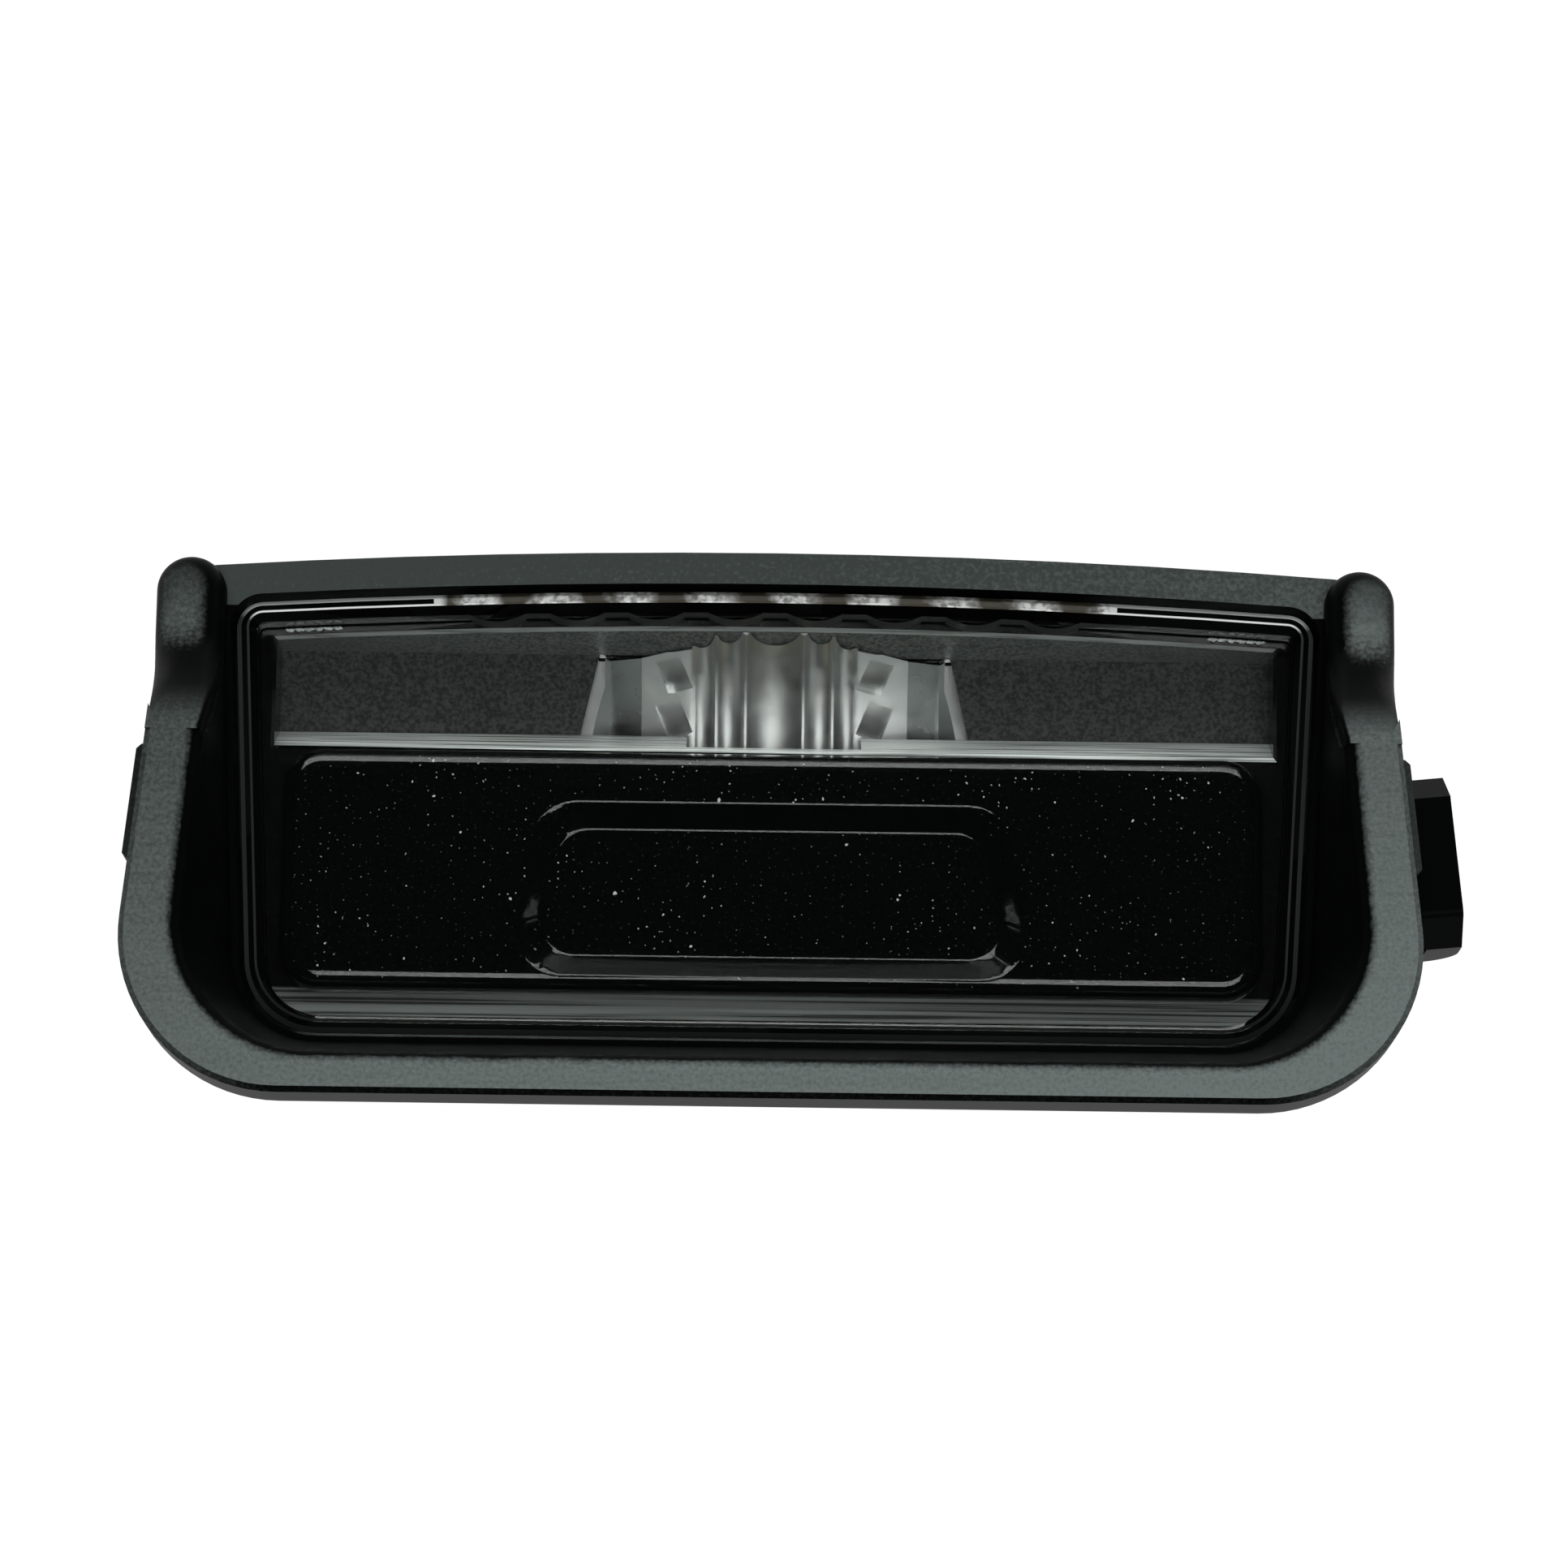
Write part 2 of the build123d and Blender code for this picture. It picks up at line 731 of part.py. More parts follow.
# Reflector: a barrel-backed shell behind the plates with a tongue through the bay
barrel_radius = flute_radius + trough_end[1] + reflector_wall
cheek_x = trough_mouth[0] + cheek_width
with BuildPart() as reflector:
    with BuildSketch(Plane.YZ):
        with Locations((flute_axis_y, flute_axis_z)):
            Circle(barrel_radius)
    extrude(amount=cheek_x, both=True)
    barrel_top = plate_top - reflector_gap
    with BuildSketch(level(flute_axis_z - barrel_radius)):
        with Locations((0, (reflector_bottom + barrel_top) / 2)):
            Rectangle(2 * cheek_x, barrel_top - reflector_bottom)
    extrude(amount=bezel_back - flute_axis_z + barrel_radius, mode=Mode.INTERSECT)
    with BuildSketch(level(bezel_back)):
        add(
            window_outline(
                bay_half,
                window_back + reflector_gap,
                window_margin + reflector_gap,
            )
        )
    extrude(amount=plate_face - bezel_back)
    with BuildSketch(level(plate_face)):
        add(
            window_outline(
                bay_half,
                window_back + reflector_gap,
                window_margin + reflector_gap,
            )
        )
    with BuildSketch(level(bezel_front - reflector_gap)):
        add(
            window_outline(
                bay_half,
                window_back + reflector_gap,
                window_top_margin + reflector_gap,
            )
        )
    loft(ruled=True)
    add(trough.part, mode=Mode.SUBTRACT)
    facet_x = (flute_steps[-1][0] + ridge_width + facet_zone[0]) / 2
    facet_radius = flute_radius + (flute_steps[-1][1] + facet_zone[1]) / 2
    for side in (-1, 1):
        for angle in facet_angles:
            across = math.cos(math.radians(angle))
            depth = math.sin(math.radians(angle))
            seat = Plane(
                origin=(
                    side * facet_x,
                    flute_axis_y + facet_radius * across,
                    flute_axis_z - facet_radius * depth,
                ),
                x_dir=(1, 0, 0),
                z_dir=(0, -across, depth),
            )
            with Locations(seat):
                Box(
                    facet_width,
                    facet_length,
                    2 * facet_depth,
                    rotation=(facet_lean, side * facet_lean, -side * facet_tilt),
                    mode=Mode.SUBTRACT,
                )
reflector.part.label = "reflector"
export_step(reflector.part, "parts/reflector.step")

# Circuit board under the box, its upper edge just short of the reflector
board_middle = (board_top + board_bottom) / 2
terminal_places = [
    (socket_x - terminal_pitch / 2, socket_y),
    (socket_x + terminal_pitch / 2, socket_y),
]
screw_places = [(-screw_spacing / 2, screw_y), (screw_spacing / 2, screw_y)]
with BuildPart() as circuit_board:
    with BuildSketch(level(board_back)):
        with Locations((0, board_middle)):
            RectangleRounded(board_width, board_top - board_bottom, board_corner)
        with Locations(screw_places):
            Circle(screw_radius + screw_hole_gap, mode=Mode.SUBTRACT)
        with Locations(terminal_places):
            Rectangle(terminal_width, terminal_thickness, mode=Mode.SUBTRACT)
    extrude(amount=board_thickness)
circuit_board.part.label = "circuit_board"
export_step(circuit_board.part, "parts/circuit_board.step")

# Two screws that hold the board to the posts of the rear cover
with BuildPart() as board_screws:
    with BuildSketch(level(board_front)):
        with Locations(screw_places):
            Circle(screw_head_radius)
    extrude(amount=screw_head_height)
    with BuildSketch(level(board_front + screw_head_height - screw_slot_depth)):
        with Locations(screw_places):
            Rectangle(screw_slot_length, screw_slot_width)
            Rectangle(screw_slot_width, screw_slot_length)
    extrude(amount=screw_slot_depth, mode=Mode.SUBTRACT)
    with BuildSketch(level(board_front)):
        with Locations(screw_places):
            Circle(screw_radius)
    extrude(amount=-screw_length)
board_screws.part.label = "board_screws"
export_step(board_screws.part, "parts/board_screws.step")

# Side-firing lamp chip at the upper edge of the board, with its bright face towards +Y
led_front = board_top - led_edge
led_middle = board_front + led_height / 2
with BuildPart() as led_body:
    with BuildSketch(level(board_front)):
        with Locations((0, led_front - led_width / 2)):
            Rectangle(led_length, led_width)
    extrude(amount=led_height)
led_body.part.label = "led_body"
export_step(led_body.part, "parts/led_body.step")

with BuildPart() as led_phosphor:
    with BuildSketch(upright(led_front)):
        with Locations((0, led_middle)):
            Rectangle(led_window_length, led_window_height)
    extrude(amount=-phosphor_thickness)
led_phosphor.part.label = "led_phosphor"
export_step(led_phosphor.part, "parts/led_phosphor.step")

# Current regulator in a small-outline case, its leads on the board
with BuildPart() as regulator_chip:
    with BuildSketch(level(board_front + lead_thickness)):
        with Locations(chip_place):
            Rectangle(chip_length, chip_width)
    extrude(amount=chip_height - lead_thickness)
    with BuildSketch(level(board_front)):
        with Locations(chip_place):
            with GridLocations(chip_lead_pitch, chip_width, chip_lead_count, 2):
                Rectangle(chip_lead_width, 2 * chip_lead_length)
    extrude(amount=2 * lead_thickness)
regulator_chip.part.label = "regulator_chip"
export_step(regulator_chip.part, "parts/regulator_chip.step")

# Small blocks on the board: resistors, capacitors and the two diodes
with BuildPart() as chip_resistors:
    with BuildSketch(level(board_front)):
        with Locations(resistor_places):
            Rectangle(resistor_length, resistor_width)
    extrude(amount=resistor_height)
chip_resistors.part.label = "chip_resistors"
export_step(chip_resistors.part, "parts/chip_resistors.step")

with BuildPart() as chip_capacitors:
    with BuildSketch(level(board_front)):
        with Locations(capacitor_places):
            Rectangle(capacitor_length, capacitor_width)
    extrude(amount=capacitor_height)
chip_capacitors.part.label = "chip_capacitors"
export_step(chip_capacitors.part, "parts/chip_capacitors.step")

with BuildPart() as reverse_diode:
    with BuildSketch(level(board_front)):
        with Locations(reverse_diode_place):
            Rectangle(diode_length, diode_width)
    extrude(amount=diode_height)
    with BuildSketch(level(board_front)):
        with Locations(reverse_diode_place):
            Rectangle(diode_length + 2 * end_cap_length, diode_width / 2)
    extrude(amount=lead_thickness)
reverse_diode.part.label = "reverse_diode"
export_step(reverse_diode.part, "parts/reverse_diode.step")

with BuildPart() as surge_diode:
    with BuildSketch(level(board_front)):
        with Locations(surge_diode_place):
            Rectangle(diode_length, diode_width)
    extrude(amount=diode_height)
    with BuildSketch(level(board_front)):
        with Locations(surge_diode_place):
            Rectangle(diode_length + 2 * end_cap_length, diode_width / 2)
    extrude(amount=lead_thickness)
surge_diode.part.label = "surge_diode"
export_step(surge_diode.part, "parts/surge_diode.step")

# Flat terminals from the board into the connector socket
with BuildPart() as terminal_positive:
    with BuildSketch(level(socket_floor - terminal_tip)):
        with Locations(terminal_places[0]):
            Rectangle(terminal_width, terminal_thickness)
    extrude(amount=board_front + terminal_stub - socket_floor + terminal_tip)
    chamfer(terminal_positive.edges().group_by(Axis.Z)[0], terminal_thickness / 4)
terminal_positive.part.label = "terminal_positive"
export_step(terminal_positive.part, "parts/terminal_positive.step")

with BuildPart() as terminal_negative:
    with BuildSketch(level(socket_floor - terminal_tip)):
        with Locations(terminal_places[1]):
            Rectangle(terminal_width, terminal_thickness)
    extrude(amount=board_front + terminal_stub - socket_floor + terminal_tip)
    chamfer(terminal_negative.edges().group_by(Axis.Z)[0], terminal_thickness / 4)
terminal_negative.part.label = "terminal_negative"
export_step(terminal_negative.part, "parts/terminal_negative.step")

# Rear cover: welded to the body, with the connector socket, board posts and vent
with BuildPart() as rear_cover:
    with BuildSketch(level(rear_face)):
        add(lens_outline(body_wall - ledge_width))
    extrude(amount=cover_thickness)
    chamfer(rear_cover.edges().group_by(Axis.Z)[0], cover_edge_chamfer)
    with BuildSketch(level(cover_front)):
        add(lens_outline(-ledge_width - cover_gap))
        add(lens_outline(-ledge_width - cover_gap - cover_rib_width), mode=Mode.SUBTRACT)
    extrude(amount=cover_rib_height)
    with BuildSketch(level(cover_front)):
        with Locations(screw_places):
            Circle(post_radius)
    extrude(amount=board_back - cover_front)
    with BuildSketch(level(board_back)):
        with Locations(screw_places):
            Circle(screw_radius)
    extrude(amount=-pilot_depth, mode=Mode.SUBTRACT)
    with BuildSketch(level(cover_front)):
        with Locations((socket_x, socket_y)):
            RectangleRounded(
                socket_length + 2 * socket_wall,
                socket_width + 2 * socket_wall,
                socket_corner + socket_wall / 2,
            )
    extrude(amount=socket_roof - cover_front)
    with BuildSketch(level(rear_face)):
        with Locations((socket_x, socket_y)):
            RectangleRounded(socket_length, socket_width, socket_corner)
        with Locations((socket_x, socket_y + socket_width / 2 - key_depth / 2)):
            with GridLocations(terminal_pitch, 0, 2, 1):
                Rectangle(key_width, key_depth, mode=Mode.SUBTRACT)
    extrude(amount=socket_floor - rear_face, mode=Mode.SUBTRACT)
    with BuildSketch(level(socket_floor)):
        with Locations(terminal_places):
            Rectangle(terminal_width, terminal_thickness)
    extrude(amount=socket_wall, mode=Mode.SUBTRACT)
    with BuildSketch(level(rear_face)):
        with Locations((vent_x, vent_y)):
            Circle(vent_patch_radius + vent_recess_gap)
    extrude(amount=vent_recess_depth, mode=Mode.SUBTRACT)
    with BuildSketch(level(rear_face)):
        with Locations((vent_x, vent_y)):
            Circle(vent_hole_radius)
    extrude(amount=cover_thickness, mode=Mode.SUBTRACT)
rear_cover.part.label = "rear_cover"
export_step(rear_cover.part, "parts/rear_cover.step")

# Breathing patch stuck over the vent hole
with BuildPart() as vent_patch:
    with BuildSketch(level(rear_face + vent_recess_depth)):
        with Locations((vent_x, vent_y)):
            Circle(vent_patch_radius)
    extrude(amount=-vent_patch_thickness)
vent_patch.part.label = "vent_patch"
export_step(vent_patch.part, "parts/vent_patch.step")
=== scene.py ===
# Number plate lamp, dressed for rendering. Metres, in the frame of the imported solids:
# +X along the lamp towards the spring tongue, +Y the open side, +Z the way the lens faces.
import math

import bmesh
import bpy
from mathutils import Matrix, Vector


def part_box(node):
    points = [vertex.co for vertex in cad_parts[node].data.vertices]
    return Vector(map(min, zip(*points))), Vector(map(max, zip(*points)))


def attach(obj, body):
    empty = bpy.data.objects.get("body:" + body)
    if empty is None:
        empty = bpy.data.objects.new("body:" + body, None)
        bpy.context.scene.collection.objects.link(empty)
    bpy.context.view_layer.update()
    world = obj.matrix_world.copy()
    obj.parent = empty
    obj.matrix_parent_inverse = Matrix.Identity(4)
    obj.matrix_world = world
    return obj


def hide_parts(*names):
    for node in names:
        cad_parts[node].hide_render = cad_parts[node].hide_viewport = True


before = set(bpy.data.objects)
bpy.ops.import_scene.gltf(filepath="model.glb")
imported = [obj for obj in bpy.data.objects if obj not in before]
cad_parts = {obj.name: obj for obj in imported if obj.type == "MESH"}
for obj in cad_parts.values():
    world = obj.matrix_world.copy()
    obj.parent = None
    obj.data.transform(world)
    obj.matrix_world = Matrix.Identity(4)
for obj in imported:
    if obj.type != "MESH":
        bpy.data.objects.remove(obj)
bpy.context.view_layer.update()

MM = 0.001

# Levels that the finishes follow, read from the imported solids
LENS_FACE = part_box("lens")[1].z
LENS_STEP = LENS_FACE - 0.3 * MM
HORN_CROWN = LENS_FACE + 3.4 * MM
BEZEL_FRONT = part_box("inner_bezel")[1].z - 1.8 * MM
PLATE_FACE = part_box("inner_bezel")[0].z + 1.5 * MM
REAR_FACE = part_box("rear_cover")[0].z

# Row of light-spreading pillows behind the lens's top edge: spacing and half length
PILLOW_PITCH = 5.9 * MM
PILLOW_REACH = 24.5 * MM


def linear(code):
    """sRGB hex colour to linear."""
    parts = [int(code[i:i + 2], 16) / 255 for i in (0, 2, 4)]
    return [*(c / 12.92 if c <= 0.04045 else ((c + 0.055) / 1.055) ** 2.4 for c in parts), 1.0]


def per_mm(size):
    """Texture scale at which one cell or grain is this many millimetres across."""
    return 1 / (size * MM)


def add(tree, kind, inputs=None, **settings):
    """Adds a node, its settings, and its input values or links."""
    node = tree.nodes.new(kind)
    for name, value in settings.items():
        setattr(node, name, value)
    for name, value in (inputs or {}).items():
        if isinstance(value, bpy.types.NodeSocket):
            tree.links.new(value, node.inputs[name])
        else:
            node.inputs[name].default_value = value
    return node


def new_finish(name):
    """An empty material, its nodes, and the place on the piece that its patterns follow."""
    material = bpy.data.materials.new(name)
    material.use_nodes = True
    tree = material.node_tree
    tree.nodes.clear()
    return material, tree, add(tree, "ShaderNodeTexCoord").outputs["Object"]


def painted_sheen_share(tree, place, facing, grain, crown):
    """Share of the housing's painted grey sheen at a place, from 0 to 1: a painted highlight on
    faces that look up.
    """
    apart = add(tree, "ShaderNodeSeparateXYZ", {"Vector": place})
    # the painted highlight also lies on faces that lean outwards, as the lamps light them, so the
    # measure of "up" leans that way
    side = add(tree, "ShaderNodeMath", {0: apart.outputs["X"]}, operation="SIGN")
    lean = add(tree, "ShaderNodeMath", {0: side.outputs["Value"], 1: 0.28}, operation="MULTIPLY")
    upward = add(tree, "ShaderNodeCombineXYZ", {"X": lean.outputs["Value"], "Z": 0.96})
    level = add(tree, "ShaderNodeVectorMath", {0: facing, 1: upward.outputs["Vector"]},
                operation="DOT_PRODUCT")
    # its edge breaks up into the grain where it fades out on a slope
    broken = add(tree, "ShaderNodeMapRange", {"Value": grain, "From Min": 0.3, "From Max": 0.7,
                                              "To Min": -0.03, "To Max": 0.03})
    jittered_level = add(tree, "ShaderNodeMath",
               {0: level.outputs["Value"], 1: broken.outputs["Result"]}, operation="ADD")
    painted_sheen = add(tree, "ShaderNodeMapRange",
               {"Value": jittered_level.outputs["Value"], "From Min": 0.66, "From Max": 0.98},
               interpolation_type="SMOOTHSTEP").outputs["Result"]
    # painted sheen only on the lip and on the band beyond the lens, 15 mm out and level with its
    # face; none below the lip
    front = add(tree, "ShaderNodeMath", {0: apart.outputs["Z"], 1: LENS_FACE + 0.8 * MM},
                operation="GREATER_THAN")
    band_y = add(tree, "ShaderNodeMath", {0: apart.outputs["Y"], 1: 15.0 * MM},
                 operation="GREATER_THAN")
    band_z = add(tree, "ShaderNodeMath", {0: apart.outputs["Z"], 1: LENS_FACE, 2: 0.8 * MM},
                 operation="COMPARE")
    reached = add(tree, "ShaderNodeMath",
                  {0: band_y.outputs["Value"], 1: band_z.outputs["Value"],
                   2: front.outputs["Value"]}, operation="MULTIPLY_ADD", use_clamp=True)
    # painted shade of the lip on the lugs at Z = 0 takes most of the sheen off them
    lug = add(tree, "ShaderNodeMath", {0: apart.outputs["Z"], 1: 0.0, 2: 0.6 * MM},
              operation="COMPARE")
    lug_shade = add(tree, "ShaderNodeMath", {0: lug.outputs["Value"], 1: -0.7, 2: 1.0},
                 operation="MULTIPLY_ADD")
    # painted shade thins the sheen towards the tips of the horns, where they round over
    tip = add(tree, "ShaderNodeMapRange", {"Value": apart.outputs["Y"], "From Min": 13.5 * MM,
                                           "From Max": 17.5 * MM, "To Max": -0.65})
    tip_shade = add(tree, "ShaderNodeMath", {0: tip.outputs["Result"], 1: crown, 2: 1.0},
                 operation="MULTIPLY_ADD")
    # painted shade takes the sheen off the upper end of their slopes, and a painted highlight lies
    # at the slopes' feet
    ragged = add(tree, "ShaderNodeMath", {0: grain, 1: 2.0 * MM, 2: apart.outputs["Y"]},
                 operation="MULTIPLY_ADD")
    end = add(tree, "ShaderNodeMapRange",
              {"Value": ragged.outputs["Value"], "From Min": 11.2 * MM, "From Max": 14.4 * MM,
               "To Min": -1.0, "To Max": 0.0}, interpolation_type="SMOOTHSTEP")
    slope_top_shade = add(tree, "ShaderNodeMath", {0: end.outputs["Result"], 1: crown, 2: 1.0},
               operation="MULTIPLY_ADD")
    for part in (reached, lug_shade, tip_shade, slope_top_shade):
        painted_sheen = add(tree, "ShaderNodeMath", {0: painted_sheen, 1: part.outputs["Value"]},
                   operation="MULTIPLY").outputs["Value"]
    # a slope looks halfway between the open side and the front
    slope = add(tree, "ShaderNodeVectorMath", {0: facing, 1: (0.0, 0.7, 0.72)},
                operation="DOT_PRODUCT")
    foot = add(tree, "ShaderNodeMapRange", {"Value": slope.outputs["Value"], "From Min": 0.74,
                                            "From Max": 0.9}).outputs["Result"]
    # it begins at the shoulder and fades out 7.5 mm along Y
    for begin, full in ((0.0, 2.0), (7.5, 3.0)):
        part = add(tree, "ShaderNodeMapRange",
                   {"Value": apart.outputs["Y"], "From Min": begin * MM, "From Max": full * MM},
                   interpolation_type="SMOOTHSTEP")
        foot = add(tree, "ShaderNodeMath", {0: foot, 1: part.outputs["Result"]},
                   operation="MULTIPLY").outputs["Value"]
    # the groove inside the slope, where Y and Z together stay under 6 mm, has none of that painted
    # highlight
    out = add(tree, "ShaderNodeVectorMath", {0: place, 1: (0.0, 1.0, 1.0)},
              operation="DOT_PRODUCT")
    out = add(tree, "ShaderNodeMath", {0: out.outputs["Value"], 1: 6.0 * MM},
              operation="GREATER_THAN")
    foot = add(tree, "ShaderNodeMath", {0: foot, 1: out.outputs["Value"]}, operation="MULTIPLY")
    painted_sheen = add(tree, "ShaderNodeMath", {0: painted_sheen, 1: foot.outputs["Value"]},
               operation="MAXIMUM").outputs["Value"]
    return painted_sheen


def painted_sheen_grey(tree, place, grain, crown):
    """Colour of the painted sheen: darker or lighter across the lamp as painted light, with streaks
    and grain.
    """
    # painted light, 0 at the far left of the band, 1 at the closed lip's right end
    light_gradient = add(tree, "ShaderNodeVectorMath", {0: place, 1: (3.8, -22.0, 0.0)},
                operation="DOT_PRODUCT")
    # streaks drawn out along the lamp, 0.4 mm by 7 mm
    streak_space = add(tree, "ShaderNodeMapping", {"Vector": place, "Scale": (1 / 7.0, 1 / 0.4, 1.0)})
    streak = add(tree, "ShaderNodeTexNoise",
                 {"Vector": streak_space.outputs["Vector"], "Scale": per_mm(1.0), "Detail": 2.0})
    tone = add(tree, "ShaderNodeMapRange",
               {"Value": streak.outputs["Fac"], "From Min": 0.3, "From Max": 0.7,
                "To Min": 0.31, "To Max": 0.43})
    tone = add(tree, "ShaderNodeMath", {0: tone.outputs["Result"], 1: light_gradient.outputs["Value"]},
               operation="ADD")
    # painted highlight on the crowns of the horns
    tone = add(tree, "ShaderNodeMath", {0: crown, 1: 0.35, 2: tone.outputs["Value"]},
               operation="MULTIPLY_ADD")
    fleck = add(tree, "ShaderNodeMapRange", {"Value": grain, "From Min": 0.3, "From Max": 0.7,
                                             "To Min": -0.2, "To Max": 0.2})
    tone = add(tree, "ShaderNodeMath", {0: tone.outputs["Value"], 1: fleck.outputs["Result"]},
               operation="ADD", use_clamp=True)
    return add(tree, "ShaderNodeMix", {"Factor": tone.outputs["Value"], "A": linear("414745"),
                                       "B": linear("747d7b")}, data_type="RGBA").outputs["Result"]


def bare_black(tree, place, facing):
    """Colour of the bare blend: near black, and on the outer walls, hidden in the car, a dark grey
    that grows from Z = -8 to -14 mm.
    """
    outward = add(tree, "ShaderNodeVectorMath", {0: place, 1: (1.0, 1.0, 0.0)},
                  operation="MULTIPLY")
    outward = add(tree, "ShaderNodeVectorMath", {0: outward.outputs["Vector"], 1: facing},
                  operation="DOT_PRODUCT")
    outer = add(tree, "ShaderNodeMath", {0: outward.outputs["Value"], 1: 0.0},
                operation="GREATER_THAN")
    height = add(tree, "ShaderNodeSeparateXYZ", {"Vector": place}).outputs["Z"]
    low = add(tree, "ShaderNodeMapRange", {"Value": height, "From Min": -8.0 * MM,
                                           "From Max": -14.0 * MM})
    outer_grey = add(tree, "ShaderNodeMath", {0: outer.outputs["Value"], 1: low.outputs["Result"]},
               operation="MULTIPLY")
    return add(tree, "ShaderNodeMix", {"Factor": outer_grey.outputs["Value"], "A": linear("040505"),
                                       "B": linear("1d1f1f")}, data_type="RGBA").outputs["Result"]


# Black PC/ABS of the housing, moulded against a spark-eroded tool. On its own it is near black;
# a painted grey sheen, standing for the lamps' highlight, lies on every face that looks up, and is
# painted lighter towards the closed lip, so flats read grey and slopes, walls and tips stay black.
def grained_black_blend():
    material, tree, place = new_finish("grained_black_pc_abs")
    facing = add(tree, "ShaderNodeNewGeometry").outputs["Normal"]
    # grain of the mould, 0.1 mm on the part and drawn at 0.3 mm so that it shows
    grain = add(tree, "ShaderNodeTexNoise", {"Vector": place, "Scale": per_mm(0.3), "Detail": 2.0,
                                             "Roughness": 0.6}).outputs["Fac"]
    height = add(tree, "ShaderNodeSeparateXYZ", {"Vector": place}).outputs["Z"]
    crown = add(tree, "ShaderNodeMath", {0: height, 1: HORN_CROWN, 2: 2.4 * MM},
                operation="COMPARE").outputs["Value"]
    painted_sheen = painted_sheen_share(tree, place, facing, grain, crown)
    colour = add(tree, "ShaderNodeMix", {"Factor": painted_sheen, "A": bare_black(tree, place, facing),
                                         "B": painted_sheen_grey(tree, place, grain, crown)},
                 data_type="RGBA")
    rough = add(tree, "ShaderNodeMapRange", {"Value": painted_sheen, "To Min": 0.42, "To Max": 0.62})
    bump = add(tree, "ShaderNodeBump", {"Strength": 0.35, "Distance": 0.03 * MM, "Height": grain})
    skin = add(tree, "ShaderNodeBsdfPrincipled",
               {"Base Color": colour.outputs["Result"], "Roughness": rough.outputs["Result"],
                "IOR": 1.5, "Specular IOR Level": 0.02, "Normal": bump.outputs["Normal"]})
    add(tree, "ShaderNodeOutputMaterial", {"Surface": skin.outputs["BSDF"]})
    return material


# Clear polycarbonate of the lens, polished in the mould: flat, with faint flow waves.
# Lamps pass straight through it, so that what is behind it is lit.
def clear_polycarbonate():
    material, tree, place = new_finish("clear_polycarbonate")
    # flow waves, about 6 mm apart
    wave = add(tree, "ShaderNodeTexNoise", {"Vector": place, "Scale": per_mm(6.0), "Detail": 1.0})
    bump = add(tree, "ShaderNodeBump", {"Strength": 0.1, "Distance": 0.02 * MM,
                                        "Height": wave.outputs["Fac"]})
    clear = add(tree, "ShaderNodeBsdfPrincipled",
                {"Base Color": linear("f6f8f7"), "Roughness": 0.0, "IOR": 1.585,
                 "Specular IOR Level": 0.5, "Transmission Weight": 1.0,
                 "Normal": bump.outputs["Normal"]})
    through = add(tree, "ShaderNodeBsdfTransparent", {"Color": linear("f6f8f7")})
    path = add(tree, "ShaderNodeLightPath")
    both = add(tree, "ShaderNodeMixShader", {0: path.outputs["Is Shadow Ray"],
                                             1: clear.outputs["BSDF"], 2: through.outputs["BSDF"]})
    add(tree, "ShaderNodeOutputMaterial", {"Surface": both.outputs["Shader"]})
    return material


